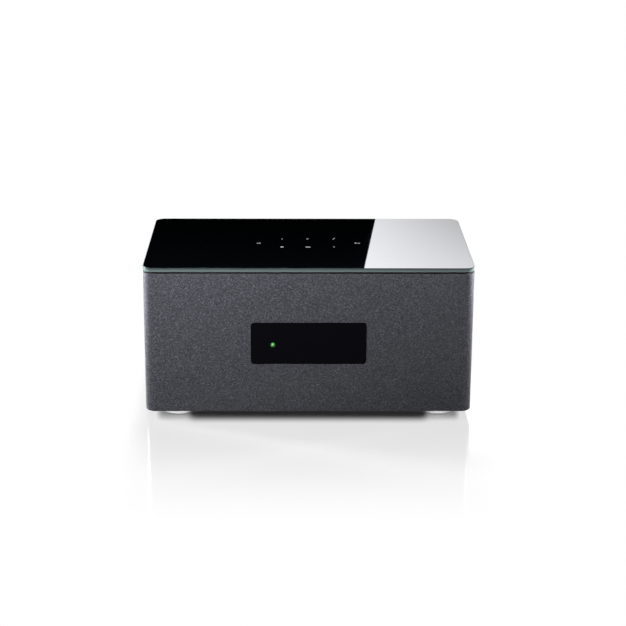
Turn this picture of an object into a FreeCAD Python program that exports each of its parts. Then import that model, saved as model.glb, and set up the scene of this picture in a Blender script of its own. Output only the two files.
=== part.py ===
import FreeCAD, Part
import math
import os
import re

import Sketcher

# Driving sizes of a compact AV amplifier, in millimetres and degrees
SIZES = {
    # Case
    "case_width": 300.0,
    "case_depth": 180.0,
    "case_height": 132.0,
    "corner_radius": 9.5,
    "sleeve_wall": 2.5,
    "ground_gap": 8.0,
    "plate_fit": 0.2,
    # Screw bosses along the side walls
    "boss_size": 12.0,
    "boss_offset": 6.0,
    "boss_thread_depth": 14.0,
    # Top cover glass and what carries it
    "glass_thickness": 4.0,
    "glass_gap": 1.3,
    "glass_bevel": 0.5,
    "gasket_inset": 4.0,
    "gasket_width": 6.0,
    "frame_thickness": 3.0,
    "frame_rail": 14.0,
    "bridge_width": 160.0,
    "touch_board_width": 136.0,
    "touch_board_depth": 72.0,
    "touch_board_thickness": 1.0,
    # Base and rear plates
    "base_thickness": 2.5,
    "panel_thickness": 2.0,
    "rear_opening_margin": 14.0,
    "rear_opening_rail": 7.0,
    "rear_opening_radius": 4.0,
    "base_vent_length": 62.0,
    "base_vent_width": 3.0,
    "base_vent_pitch": 9.0,
    "base_vent_count": 8,
    "base_vent_x": 74.0,
    "panel_vent_length": 44.0,
    "panel_vent_width": 3.0,
    "panel_vent_pitch": 7.0,
    "panel_vent_count": 10,
    "panel_vent_x": 8.0,
    "lower_row_height": 40.0,
    # Feet
    "foot_radius": 15.0,
    "foot_side_inset": 29.0,
    "foot_end_inset": 28.0,
    "foot_thread_depth": 5.0,
    "pad_height": 1.5,
    "pad_radius": 13.0,
    # Screws
    "case_screw_radius": 1.5,
    "case_screw_head_radius": 2.9,
    "case_screw_head_height": 1.6,
    "foot_screw_radius": 2.0,
    "foot_screw_head_radius": 3.6,
    "foot_screw_head_height": 2.2,
    "screw_fit": 0.08,
    # Display window and what sits behind it
    "window_width": 105.0,
    "window_height": 39.4,
    "window_radius": 3.0,
    "window_fit": 0.15,
    "window_recess": 0.3,
    "window_flange": 5.0,
    "window_flange_thickness": 2.0,
    "board_setback": 5.5,
    "board_thickness": 1.6,
    "rail_gap": 1.0,
    "rail_lap": 3.0,
    "rail_wall": 2.0,
    "display_module_width": 68.0,
    "display_module_height": 30.0,
    "display_module_thickness": 3.2,
    "display_module_x": 8.0,
    "led_x": -32.5,
    "led_drop": 1.8,
    "led_radius": 2.5,
    "led_proud": 0.8,
    "led_flange_radius": 2.9,
    "led_flange_height": 1.0,
    "led_nose_height": 1.2,
    "led_nose_angle": 40.0,
    "led_fit": 0.2,
    "receiver_x": 46.5,
    "receiver_width": 6.0,
    "receiver_height": 7.0,
    "receiver_thickness": 3.0,
    "receiver_taper": 1.2,
    # Boards in the case
    "standoff_height": 8.0,
    "standoff_flats": 6.0,
    "standoff_pin_radius": 1.5,
    "standoff_pin_height": 3.0,
    "standoff_fit": 0.08,
    "standoff_inset": 5.0,
    "board_aisle": 20.0,
    "board_side_gap": 3.5,
    "board_front_gap": 18.0,
    "board_rear_gap": 15.0,
    "connector_headroom": 37.0,
    "main_board_overhang": 44.0,
    "sink_side_margin": 10.0,
    "sink_end_margin": 20.0,
    "sink_base_thickness": 6.0,
    "sink_fin_height": 32.0,
    "sink_fin_thickness": 1.8,
    "sink_fin_count": 12,
    "transformer_core_width": 40.0,
    "transformer_core_depth": 14.0,
    "transformer_core_height": 34.0,
    "transformer_coil_width": 27.0,
    "transformer_coil_depth": 32.0,
    "transformer_coil_height": 24.0,
    "transformer_coil_radius": 3.0,
    "transformer_setback": 24.0,
    "capacitor_radius": 12.5,
    "capacitor_height": 36.0,
    "capacitor_pitch": 30.0,
    "capacitor_setback": 46.0,
    "shield_width": 42.0,
    "shield_depth": 30.0,
    "shield_height": 5.0,
    "shield_radius": 2.0,
    "shield_x": -20.0,
    "ribbon_thickness": 0.5,
    "ribbon_width": 22.0,
    "ribbon_plug_height": 3.0,
    "ribbon_plug_depth": 4.5,
    "ribbon_clearance": 4.0,
    "touch_ribbon_x": -62.0,
    "touch_ribbon_y": -20.0,
    "speaker_ribbon_width": 13.0,
    "speaker_ribbon_rise": 12.0,
    # Speaker terminals
    "terminal_columns": 3,
    "terminal_column_pitch": 26.0,
    "terminal_row_pitch": 22.0,
    "terminal_x": -86.0,
    "terminal_reach": 17.0,
    "terminal_block_margin": 12.0,
    "terminal_block_radius": 3.0,
    "terminal_block_thickness": 3.0,
    "collar_seat_depth": 1.2,
    "stud_radius": 3.0,
    "stud_flat": 2.6,
    "stud_tip_gap": 1.0,
    "stud_tail": 9.0,
    "plug_bore_radius": 2.05,
    "plug_bore_depth": 12.0,
    "collar_flats": 9.0,
    "collar_height": 2.2,
    "washer_flats": 10.0,
    "washer_thickness": 1.0,
    "cap_radius": 6.0,
    "cap_flute_depth": 0.8,
    "thread_fit": 0.08,
    "clamp_gap": 0.05,
    "nut_flats": 8.0,
    "nut_height": 2.6,
    "terminal_board_margin": 9.0,
    # Mains inlet and power switch
    "inlet_x": 103.0,
    "inlet_body_width": 27.0,
    "inlet_body_height": 19.8,
    "inlet_body_depth": 17.0,
    "inlet_corner": 3.0,
    "inlet_flange_width": 50.0,
    "inlet_flange_height": 23.5,
    "inlet_flange_thickness": 2.5,
    "inlet_cavity_width": 24.2,
    "inlet_cavity_height": 16.6,
    "inlet_cavity_depth": 16.0,
    "inlet_cavity_corner": 4.5,
    "inlet_screw_pitch": 40.0,
    "inlet_pin_width": 2.0,
    "inlet_pin_height": 4.0,
    "inlet_pin_length": 13.0,
    "inlet_pin_tail": 8.0,
    "inlet_pin_pitch": 14.0,
    "inlet_pin_drop": 1.5,
    "inlet_earth_rise": 3.0,
    "switch_rise": 32.0,
    "switch_width": 21.0,
    "switch_height": 15.0,
    "switch_bezel": 2.0,
    "switch_bezel_thickness": 1.6,
    "switch_body_depth": 12.0,
    "switch_opening_depth": 9.0,
    "switch_lip": 1.4,
    "rocker_gap": 0.9,
    "rocker_half_angle": 8.0,
    "rocker_pivot_depth": 4.0,
    "rocker_rise": 6.0,
    "rocker_valley": 4.6,
    "rocker_skirt": 2.6,
    "rocker_taper": 1.4,
    "rocker_pin_radius": 1.0,
    "rocker_pin_fit": 0.05,
    "rocker_pin_length": 1.2,
    # Signal sockets on the rear edge of the main board
    "cutout_gap": 0.4,
    "hdmi_x": -112.0,
    "hdmi_pitch": 25.0,
    "hdmi_width": 15.0,
    "hdmi_height": 6.2,
    "hdmi_depth": 12.0,
    "hdmi_wall": 0.5,
    "hdmi_slope": 1.9,
    "hdmi_tongue_width": 11.2,
    "hdmi_tongue_thickness": 1.6,
    "hdmi_tongue_setback": 1.5,
    "hdmi_floor": 2.0,
    "network_x": -34.0,
    "network_width": 16.0,
    "network_height": 13.4,
    "network_depth": 18.0,
    "network_cavity_width": 11.8,
    "network_cavity_height": 8.0,
    "network_cavity_depth": 13.0,
    "network_floor": 2.0,
    "network_key_width": 6.0,
    "network_key_height": 2.0,
    "socket_proud": 0.5,
    "optical_x": -10.0,
    "optical_size": 10.0,
    "optical_pin_radius": 0.4,
    "optical_pin_reach": 0.7,
    "optical_pin_fit": 0.05,
    "optical_depth": 14.0,
    "optical_mouth": 6.6,
    "optical_mouth_depth": 9.5,
    "shutter_thickness": 0.8,
    "shutter_gap": 0.25,
    "shutter_setback": 0.8,
    "phono_x": 42.0,
    "phono_pitch": 15.0,
    "phono_level": 18.0,
    "phono_block_depth": 12.0,
    "phono_block_margin": 7.0,
    "phono_shell_radius": 4.15,
    "phono_shell_wall": 0.4,
    "phono_shell_length": 9.0,
    "phono_core_recess": 0.8,
    "phono_pin_radius": 1.6,
    "phono_pin_depth": 14.0,
    "button_x": 14.0,
    "button_rise": 7.0,
    "button_radius": 2.4,
    "button_flange_radius": 3.4,
    "button_flange_height": 1.0,
    "button_proud": 1.2,
    "button_travel": 0.8,
    "button_fit": 0.1,
    "button_stem": 4.0,
    "button_stem_radius": 1.2,
    "pairing_switch_width": 6.0,
    "pairing_switch_height": 9.6,
    "pairing_switch_depth": 5.0,
}

# Places worked out from the driving sizes
PLACES = {
    "case_bottom": "ground_gap",
    "case_top": "case_bottom + case_height",
    "case_front": "-(case_depth + terminal_reach - led_proud)/2",
    "case_rear": "case_front + case_depth",
    "case_middle": "(case_front + case_rear)/2",
    "inner_side": "case_width/2 - sleeve_wall",
    "inner_front": "case_front + sleeve_wall",
    "inner_rear": "case_rear - sleeve_wall",
    "inner_radius": "corner_radius - sleeve_wall",
    "plate_width": "2*(inner_side - plate_fit)",
    "plate_depth": "inner_rear - inner_front - 2*plate_fit",
    "plate_radius": "inner_radius - plate_fit",
    "base_top": "case_bottom + base_thickness",
    "frame_bottom": "case_top - frame_thickness",
    "glass_bottom": "case_top + glass_gap",
    "glass_top": "glass_bottom + glass_thickness",
    "panel_inner": "inner_rear - panel_thickness",
    "boss_sink": "sleeve_wall/2",
    "boss_x": "inner_side - boss_size/2",
    "front_boss_y": "inner_front + boss_offset + boss_size/2",
    "rear_boss_y": "panel_inner - boss_offset - boss_size/2",
    "foot_x": "case_width/2 - foot_side_inset",
    "front_foot_y": "case_front + foot_end_inset",
    "rear_foot_y": "case_rear - foot_end_inset",
    "window_z": "case_bottom + case_height/2",
    "led_z": "window_z - led_drop",
    "display_board_front": "inner_front + board_setback",
    "display_board_back": "display_board_front + board_thickness",
    "rail_inner": "window_width/2 + window_flange + rail_gap",
    "display_board_half": "rail_inner + rail_lap",
    "rail_outer": "display_board_half + rail_wall",
    "display_board_low": "window_z - window_height/2 - window_flange",
    "display_board_high": "window_z + window_height/2 + window_flange",
    "boards_bottom": "base_top + standoff_height",
    "boards_top": "boards_bottom + board_thickness",
    "boards_front": "display_board_back + board_front_gap",
    "boards_rear": "panel_inner - stud_tail - board_rear_gap",
    "boards_outer": "inner_side - boss_size - board_side_gap",
    "boards_width": "boards_outer - board_aisle",
    "boards_depth": "boards_rear - boards_front",
    "boards_middle": "(boards_rear + boards_front)/2",
    "main_top": "frame_bottom - connector_headroom",
    "main_bottom": "main_top - board_thickness",
    "main_right": "board_aisle + main_board_overhang",
    "main_rear": "panel_inner - plate_fit",
    "post_x_outer": "boards_outer - standoff_inset",
    "post_x_inner": "board_aisle + standoff_inset",
    "post_y_front": "boards_front + standoff_inset",
    "post_y_rear": "boards_rear - standoff_inset",
    "lower_row_z": "case_bottom + lower_row_height",
    "sink_width": "boards_width - 2*sink_side_margin",
    "sink_depth": "boards_depth - 2*sink_end_margin",
    "sink_x": "-(board_aisle + boards_width/2)",
    "sink_base_top": "boards_top + sink_base_thickness",
    "sink_top": "boards_top + sink_base_thickness + sink_fin_height",
    "power_x": "board_aisle + boards_width/2",
    "block_front": "inner_rear + terminal_block_thickness",
    "collar_front": "block_front + collar_height",
    "washer_rear": "collar_front + clamp_gap",
    "cap_rear": "washer_rear + washer_thickness + clamp_gap",
    "cap_front": "case_rear + terminal_reach",
    "cap_length": "cap_front - cap_rear",
    "stud_tip": "cap_front - stud_tip_gap",
    "collar_rear": "block_front - collar_seat_depth",
    "key_half": "sqrt((stud_radius + thread_fit)^2 - (stud_flat + thread_fit)^2) + thread_fit",
    "nut_front": "panel_inner - board_thickness",
    "nut_rear": "nut_front - nut_height",
    "block_width": "(terminal_columns - 1)*terminal_column_pitch + 2*terminal_block_margin",
    "block_height": "terminal_row_pitch + 2*terminal_block_margin",
    "socket_mouth": "inner_rear + socket_proud",
    "hdmi_z": "main_top + hdmi_height/2",
    "network_z": "main_top + network_height/2",
    "optical_z": "main_top + optical_size/2",
    "phono_z": "main_top + phono_level",
    "phono_tip": "inner_rear + phono_shell_length",
    "shutter_z": "optical_z + optical_mouth/2 - shutter_gap - shutter_thickness/2",
    "shutter_y": "socket_mouth - shutter_setback - shutter_thickness/2",
    "button_z": "main_top + button_rise",
    "button_inner": "panel_inner - button_stem",
    "switch_z": "lower_row_z + switch_rise",
    "rocker_y": "inner_rear + switch_bezel_thickness - rocker_pivot_depth",
    "rocker_half_height": "switch_height/2 - switch_lip - rocker_gap",
    "rocker_half_width": "switch_width/2 - switch_lip - rocker_gap/2",
}

# How many flat sides small round forms have
HIDDEN_SIDES = 8
SHOWN_SIDES = 12
THREAD_SIDES = 16
PAD_SIDES = 24
FOOT_SIDES = 48
FLUTES = 12

UP = FreeCAD.Vector(0, 0, 1)

doc = FreeCAD.newDocument("av_amplifier")
sheet = doc.addObject("Spreadsheet::Sheet", "Sizes")
for row, (name, number) in enumerate(SIZES.items(), 1):
    sheet.set(f"A{row}", name)
    sheet.set(f"B{row}", str(number))
    sheet.setAlias(f"B{row}", name)
doc.recompute()

nodes = []


# Formulas

def formula(text):
    """Spell out the named sizes and places in a formula as cells of the sheet."""
    def spell(match):
        word = match.group(0)
        if word in SIZES:
            return f"Sizes.{word}"
        if word in PLACES:
            return f"({formula(PLACES[word])})"
        return word
    return re.sub(r"[a-z_][a-z0-9_]*", spell, text)


def value(text):
    """Work out a formula now, as a number."""
    return float(sheet.evalExpression(formula(text)))


def bind(target, setting, text):
    """Tie one setting of an object to a formula."""
    target.setExpression(setting, formula(text))


# Sketch shapes

class Drawing:
    """The edges and constraints of one sketch, which takes them all at once."""

    def __init__(self):
        self.curves = []
        self.rules = []
        self.sizes = {}

    def line(self, start, end):
        self.curves.append(Part.LineSegment(FreeCAD.Vector(*start, 0), FreeCAD.Vector(*end, 0)))
        return len(self.curves) - 1

    def ring(self, center, radius):
        self.curves.append(Part.Circle(FreeCAD.Vector(*center, 0), UP, radius))
        return len(self.curves) - 1

    def bend(self, center, radius, start):
        """A quarter circle, from its start angle in degrees."""
        round_edge = Part.Circle(FreeCAD.Vector(*center, 0), UP, radius)
        self.curves.append(Part.ArcOfCircle(round_edge, math.radians(start), math.radians(start + 90)))
        return len(self.curves) - 1

    def hold(self, kind, *picks):
        self.rules.append(Sketcher.Constraint(kind, *picks))

    def fix(self, kind, *picks_and_text):
        """Hold a size that follows a formula."""
        *picks, text = picks_and_text
        self.sizes[len(self.rules)] = text
        self.hold(kind, *picks, value(text))

    def fix_point(self, edge, point, x, y):
        """Hold one point of an edge at a place measured from the sketch's origin."""
        self.fix("DistanceX", -1, 1, edge, point, x)
        self.fix("DistanceY", -1, 1, edge, point, y)

    def join(self, loop, kind):
        """Join each edge's end to the start of the next one, round the loop."""
        for edge, following in zip(loop, loop[1:] + loop[:1]):
            self.hold(kind, edge, 2, following, 1)

    def write(self, sketch):
        sketch.addGeometry(self.curves, False)
        sketch.addConstraint(self.rules)
        for index, text in self.sizes.items():
            bind(sketch, f"Constraints[{index}]", text)


def circle(x, y, radius):
    def draw(drawing):
        edge = drawing.ring((value(x), value(y)), value(radius))
        drawing.fix_point(edge, 3, x, y)
        drawing.fix("Radius", edge, radius)
    return draw


def outline(*corners):
    """A closed run of straight edges through the corners."""
    def draw(drawing):
        places = [(value(x), value(y)) for x, y in corners]
        edges = [drawing.line(a, b) for a, b in zip(places, places[1:] + places[:1])]
        drawing.join(edges, "Coincident")
        for edge, (x, y) in zip(edges, corners):
            drawing.fix_point(edge, 1, x, y)
    return draw


def box(left, right, low, high):
    """A rectangle given by its four sides."""
    return outline((left, low), (right, low), (right, high), (left, high))


def rectangle(x, y, width, height):
    """A rectangle given by its middle and size."""
    return box(f"{x} - ({width})/2", f"{x} + ({width})/2", f"{y} - ({height})/2", f"{y} + ({height})/2")


def hexagon(x, y, flats):
    """A hexagon with two upright sides, given by its size across flats."""
    return facets(x, y, f"({flats})/sqrt(3)", 6)


def facets(x, y, radius, sides):
    """A small round form drawn with a few flat sides, its corners on the radius."""
    turns = [360*(index + 0.5)/sides for index in range(sides)]
    return outline(*[(f"{x} + ({radius})*cos({turn})", f"{y} + ({radius})*sin({turn})") for turn in turns])


def faceted_hole(x, y, radius, sides):
    """A small round hole drawn with a few flat sides, its sides on the radius."""
    return facets(x, y, f"({radius})/cos({180/sides})", sides)


def clipped(x, y, width, height, radius):
    """A rectangle whose corners are cut along two chords of the corner circle."""
    corners = []
    for x_side, y_side, start in ((1, 1, 0), (-1, 1, 90), (-1, -1, 180), (1, -1, 270)):
        for step in (0, 45, 90):
            corners.append((f"{x} + {x_side}*(({width})/2 - ({radius})) + ({radius})*cos({start + step})",
                            f"{y} + {y_side}*(({height})/2 - ({radius})) + ({radius})*sin({start + step})"))
    return outline(*corners)


def rounded(x, y, width, height, radius):
    """A rectangle with round corners, given by its middle and size."""
    def draw(drawing):
        left = value(f"{x} - ({width})/2")
        right = value(f"{x} + ({width})/2")
        low = value(f"{y} - ({height})/2")
        high = value(f"{y} + ({height})/2")
        bend = value(radius)
        bottom = drawing.line((left + bend, low), (right - bend, low))
        low_right = drawing.bend((right - bend, low + bend), bend, -90)
        right_side = drawing.line((right, low + bend), (right, high - bend))
        high_right = drawing.bend((right - bend, high - bend), bend, 0)
        top = drawing.line((right - bend, high), (left + bend, high))
        high_left = drawing.bend((left + bend, high - bend), bend, 90)
        left_side = drawing.line((left, high - bend), (left, low + bend))
        low_left = drawing.bend((left + bend, low + bend), bend, 180)
        drawing.join([bottom, low_right, right_side, high_right, top, high_left, left_side, low_left],
                     "Tangent")
        for edge in (bottom, top):
            drawing.hold("Horizontal", edge)
        for edge in (right_side, left_side):
            drawing.hold("Vertical", edge)
        for edge in (high_right, high_left, low_left):
            drawing.hold("Equal", low_right, edge)
        drawing.fix("Radius", low_right, radius)
        drawing.fix("DistanceX", left_side, 1, right_side, 1, width)
        drawing.fix("DistanceY", bottom, 1, top, 1, height)
        drawing.fix("DistanceX", -1, 1, left_side, 1, f"{x} - ({width})/2")
        drawing.fix("DistanceY", -1, 1, bottom, 1, f"{y} - ({height})/2")
    return draw


# Features

def new_body(label):
    """Start the body of one sub-part."""
    body = doc.addObject("PartDesign::Body", label)
    body.Label = label
    nodes.append(body)
    return body


def origin_part(body, role):
    return next(feature for feature in body.Origin.OriginFeatures if feature.Role == role)


def draw_on(body, name, plane, level, shapes):
    """Draw shapes on one of the body's own planes, moved to a level along its axis."""
    sketch = body.newObject("Sketcher::SketchObject", f"{name}Sketch")
    sketch.AttachmentSupport = [(origin_part(body, f"{plane}_Plane"), "")]
    sketch.MapMode = "FlatFace"
    bind(sketch, ".AttachmentOffset.Base.z", level)
    drawing = Drawing()
    for shape in shapes:
        shape(drawing)
    drawing.write(sketch)
    return sketch


def extrude(body, kind, name, plane, low, high, shapes):
    """Pad or pocket shapes between two levels; the XZ plane faces towards -Y."""
    level = f"-({high})" if plane == "XZ" else low
    sketch = draw_on(body, name, plane, level, shapes)
    feature = body.newObject(kind, name)
    feature.Profile = sketch
    feature.Reversed = kind == "PartDesign::Pocket"
    bind(feature, "Length", f"({high}) - ({low})")
    return feature


def pad(body, name, plane, low, high, *shapes):
    return extrude(body, "PartDesign::Pad", name, plane, low, high, shapes)


def cut(body, name, plane, low, high, *shapes):
    return extrude(body, "PartDesign::Pocket", name, plane, low, high, shapes)


def row_of(body, name, feature, axis, span, count):
    """Repeat a feature along an axis of the body."""
    pattern = body.newObject("PartDesign::LinearPattern", name)
    pattern.Originals = [feature]
    pattern.Direction = (origin_part(body, f"{axis}_Axis"), [""])
    bind(pattern, "Length", span)
    bind(pattern, "Occurrences", count)
    body.Tip = pattern
    return pattern


def ease_edges(body, kind, name, size, wanted):
    """Chamfer or fillet the edges of the body so far that pass a test."""
    doc.recompute()
    base = body.Tip
    picks = [f"Edge{index}" for index, edge in enumerate(base.Shape.Edges, 1) if wanted(edge)]
    feature = body.newObject(kind, name)
    feature.Base = (base, picks)
    bind(feature, "Radius" if kind.endswith("Fillet") else "Size", size)
    return feature


def place(body, x, y, z):
    """Set a body that is drawn about its own origin at its place in the part."""
    for axis, text in zip("xyz", (x, y, z)):
        bind(body, f".Placement.Base.{axis}", text)


def four_ways(x, y_front, y_rear):
    """The four places at the corners of the case."""
    return [(f"{side}*({x})", y) for side in (-1, 1) for y in (y_front, y_rear)]


# Case

def housing_sleeve():
    body = new_body("housing_sleeve")
    pad(body, "SleeveOutline", "XY", "case_bottom", "case_top",
        rounded("0", "case_middle", "case_width", "case_depth", "corner_radius"))
    cut(body, "SleeveInside", "XY", "case_bottom", "case_top",
        rounded("0", "case_middle", "2*inner_side", "inner_rear - inner_front", "inner_radius"))
    corners = four_ways("boss_x", "front_boss_y", "rear_boss_y")
    bosses = [rectangle(f"{x}*(1 + boss_sink/2/boss_x)", y, "boss_size + boss_sink", "boss_size")
              for x, y in corners]
    pad(body, "SleeveBosses", "XY", "base_top", "frame_bottom", *bosses)
    threads = [faceted_hole(x, y, "case_screw_radius + screw_fit", HIDDEN_SIDES) for x, y in corners]
    cut(body, "LowerThreads", "XY", "base_top", "base_top + boss_thread_depth", *threads)
    cut(body, "UpperThreads", "XY", "frame_bottom - boss_thread_depth", "frame_bottom", *threads)
    cut(body, "WindowOpening", "XZ", "case_front", "inner_front",
        rounded("0", "window_z", "window_width + 2*window_fit", "window_height + 2*window_fit",
                "window_radius + window_fit"))
    cut(body, "RearOpening", "XZ", "inner_rear", "case_rear",
        rounded("0", "window_z", "case_width - 2*rear_opening_margin", "case_height - 2*rear_opening_rail",
                "rear_opening_radius"))
    wall = "inner_front - boss_sink"
    groove = "display_board_back + plate_fit"
    back = "display_board_back + plate_fit + rail_wall"
    rails = [outline(
        (f"{side}*rail_inner", wall),
        (f"{side}*rail_outer", wall),
        (f"{side}*rail_outer", back),
        (f"{side}*rail_inner", back),
        (f"{side}*rail_inner", groove),
        (f"{side}*(display_board_half + plate_fit)", groove),
        (f"{side}*(display_board_half + plate_fit)", "display_board_front"),
        (f"{side}*rail_inner", "display_board_front")) for side in (-1, 1)]
    pad(body, "BoardRails", "XY", "display_board_low", "display_board_high", *rails)
    pad(body, "RailStops", "XY", "display_board_low - rail_wall", "display_board_low",
        *[rectangle(f"{side}*(rail_inner + rail_outer)/2", f"({wall} + {back})/2",
                    "rail_outer - rail_inner", f"{back} - ({wall})") for side in (-1, 1)])


def top_frame():
    body = new_body("top_frame")
    pad(body, "FramePlate", "XY", "frame_bottom", "case_top",
        clipped("0", "case_middle", "plate_width", "plate_depth", "plate_radius"))
    window = "(plate_width - bridge_width)/2 - frame_rail"
    side = f"(bridge_width + ({window}))/2"
    cut(body, "FrameOpenings", "XY", "frame_bottom", "case_top",
        *[rectangle(f"{sign}*({side})", "case_middle", window, "plate_depth - 2*frame_rail")
          for sign in (-1, 1)])
    cut(body, "FrameHoles", "XY", "frame_bottom", "case_top",
        *[faceted_hole(x, y, "case_screw_radius + screw_fit", HIDDEN_SIDES) for x, y in CASE_SCREWS])
    cut(body, "FrameHeads", "XY", "case_top - case_screw_head_height", "case_top",
        *[faceted_hole(x, y, "case_screw_head_radius + screw_fit", HIDDEN_SIDES) for x, y in CASE_SCREWS])
    cut(body, "RibbonSlot", "XY", "frame_bottom", "case_top",
        rectangle("touch_ribbon_x", "touch_ribbon_y", "ribbon_width + ribbon_clearance",
                  "ribbon_plug_depth + ribbon_clearance"))


def glass_gasket():
    body = new_body("glass_gasket")
    pad(body, "GasketOutline", "XY", "case_top", "glass_bottom",
        clipped("0", "case_middle", "case_width - 2*gasket_inset", "case_depth - 2*gasket_inset",
                "corner_radius - gasket_inset"))
    cut(body, "GasketInside", "XY", "case_top", "glass_bottom",
        rectangle("0", "case_middle", "case_width - 2*(gasket_inset + gasket_width)",
                  "case_depth - 2*(gasket_inset + gasket_width)"))


def top_glass():
    body = new_body("top_glass")
    pad(body, "GlassOutline", "XY", "glass_bottom", "glass_top",
        rounded("0", "case_middle", "case_width", "case_depth", "corner_radius"))
    ease_edges(body, "PartDesign::Chamfer", "GlassBevel", "glass_bevel",
               lambda edge: edge.BoundBox.ZLength < 0.001)


def base_plate():
    body = new_body("base_plate")
    pad(body, "BaseOutline", "XY", "case_bottom", "base_top",
        clipped("0", "case_middle", "plate_width", "plate_depth", "plate_radius"))
    cut(body, "BaseHoles", "XY", "case_bottom", "base_top",
        *[faceted_hole(x, y, "case_screw_radius + screw_fit", HIDDEN_SIDES) for x, y in CASE_SCREWS],
        *[faceted_hole(x, y, "foot_screw_radius + screw_fit", HIDDEN_SIDES) for x, y in FEET.values()])
    span = "(base_vent_count - 1)*base_vent_pitch"
    for name, sign in (("Left", "-"), ("Right", "")):
        vent = cut(body, f"{name}Vent", "XY", "case_bottom", "base_top",
                   rectangle(f"{sign}base_vent_x - ({span})/2", "case_middle", "base_vent_width",
                             "base_vent_length"))
        row_of(body, f"{name}Vents", vent, "X", span, "base_vent_count")


def rear_panel():
    body = new_body("rear_panel")
    pad(body, "PanelOutline", "XZ", "panel_inner", "inner_rear",
        box("-(inner_side - inner_radius)", "inner_side - inner_radius", "base_top",
            "frame_bottom - plate_fit"))
    cut(body, "StudHoles", "XZ", "panel_inner", "inner_rear",
        *[faceted_hole(x, z, "stud_radius + plate_fit", HIDDEN_SIDES) for x, z in TERMINALS])
    cut(body, "InletCutout", "XZ", "panel_inner", "inner_rear",
        rectangle("inlet_x", "lower_row_z", "inlet_body_width + 2*plate_fit",
                  "inlet_body_height + 2*plate_fit"),
        *[faceted_hole(x, "lower_row_z", "case_screw_radius + screw_fit", HIDDEN_SIDES)
          for x in INLET_SCREWS],
        rectangle("inlet_x", "switch_z", "switch_width + 2*plate_fit", "switch_height + 2*plate_fit"))
    cut(body, "SocketCutouts", "XZ", "panel_inner", "inner_rear",
        *[hdmi_profile(x, "-cutout_gap") for x in HDMI_PLACES],
        rectangle("network_x", "network_z", "network_width + 2*cutout_gap", "network_height + 2*cutout_gap"),
        rectangle("optical_x", "optical_z", "optical_size + 2*cutout_gap", "optical_size + 2*cutout_gap"),
        *[faceted_hole(x, z, "phono_shell_radius + cutout_gap", SHOWN_SIDES) for x, z in PHONOS],
        faceted_hole("button_x", "button_z", "button_radius + button_fit", SHOWN_SIDES))
    span = "(panel_vent_count - 1)*panel_vent_pitch"
    vent = cut(body, "PanelVent", "XZ", "panel_inner", "inner_rear",
               rectangle(f"panel_vent_x - ({span})/2", "lower_row_z", "panel_vent_width",
                         "panel_vent_length"))
    row_of(body, "PanelVents", vent, "X", span, "panel_vent_count")


# Feet and screws

def foot(corner, x, y):
    """A turned foot with a screw thread in its top."""
    body = new_body(f"foot_{corner}")
    top = "ground_gap - pad_height"
    pad(body, "FootDisc", "XY", "0", top, facets("0", "0", "foot_radius", FOOT_SIDES))
    cut(body, "FootThread", "XY", f"{top} - foot_thread_depth", top,
        faceted_hole("0", "0", "foot_screw_radius + screw_fit", HIDDEN_SIDES))
    place(body, x, y, "pad_height")


def foot_pads():
    body = new_body("foot_pads")
    pad(body, "Pads", "XY", "0", "pad_height",
        *[facets(x, y, "pad_radius", PAD_SIDES) for x, y in FEET.values()])


def foot_screws():
    body = new_body("foot_screws")
    pad(body, "FootScrewHeads", "XY", "base_top", "base_top + foot_screw_head_height",
        *[hexagon(x, y, "2*foot_screw_head_radius") for x, y in FEET.values()])
    pad(body, "FootScrewShanks", "XY", "case_bottom - foot_thread_depth + screw_fit", "base_top",
        *[facets(x, y, "foot_screw_radius", HIDDEN_SIDES) for x, y in FEET.values()])


def case_screws():
    body = new_body("case_screws")
    heads = [facets(x, y, "case_screw_head_radius", HIDDEN_SIDES) for x, y in CASE_SCREWS]
    shanks = [facets(x, y, "case_screw_radius", HIDDEN_SIDES) for x, y in CASE_SCREWS]
    shown_heads = [facets(x, y, "case_screw_head_radius", SHOWN_SIDES) for x, y in CASE_SCREWS]
    pad(body, "LowerHeads", "XY", "case_bottom - case_screw_head_height", "case_bottom", *shown_heads)
    pad(body, "LowerShanks", "XY", "case_bottom", "base_top + boss_thread_depth - screw_fit", *shanks)
    pad(body, "UpperHeads", "XY", "case_top - case_screw_head_height", "case_top", *heads)
    pad(body, "UpperShanks", "XY", "frame_bottom - boss_thread_depth + screw_fit",
        "case_top - case_screw_head_height", *shanks)
    inlet_front = "inner_rear + inlet_flange_thickness"
    pad(body, "InletHeads", "XZ", inlet_front, f"{inlet_front} + case_screw_head_height",
        *[facets(x, "lower_row_z", "case_screw_head_radius", SHOWN_SIDES) for x in INLET_SCREWS])
    pad(body, "InletShanks", "XZ", "panel_inner - board_thickness", inlet_front,
        *[facets(x, "lower_row_z", "case_screw_radius", HIDDEN_SIDES) for x in INLET_SCREWS])


# Display and touch keys

def display_window():
    body = new_body("display_window")
    pad(body, "WindowFace", "XZ", "case_front + window_recess", "inner_front",
        rounded("0", "window_z", "window_width", "window_height", "window_radius"))
    pad(body, "WindowFlange", "XZ", "inner_front", "inner_front + window_flange_thickness",
        clipped("0", "window_z", "window_width + 2*window_flange", "window_height + 2*window_flange",
                "window_radius"))
    cut(body, "LightHole", "XZ", "case_front", "inner_front + window_flange_thickness",
        faceted_hole("led_x", "led_z", "led_radius + led_fit", THREAD_SIDES))


def display_board():
    body = new_body("display_board")
    pad(body, "DisplayBoard", "XZ", "display_board_front", "display_board_back",
        box("-display_board_half", "display_board_half", "display_board_low", "display_board_high"))


def display_module():
    body = new_body("display_module")
    pad(body, "DisplayModule", "XZ", "display_board_front - display_module_thickness", "display_board_front",
        rectangle("display_module_x", "window_z", "display_module_width", "display_module_height"))


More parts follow.
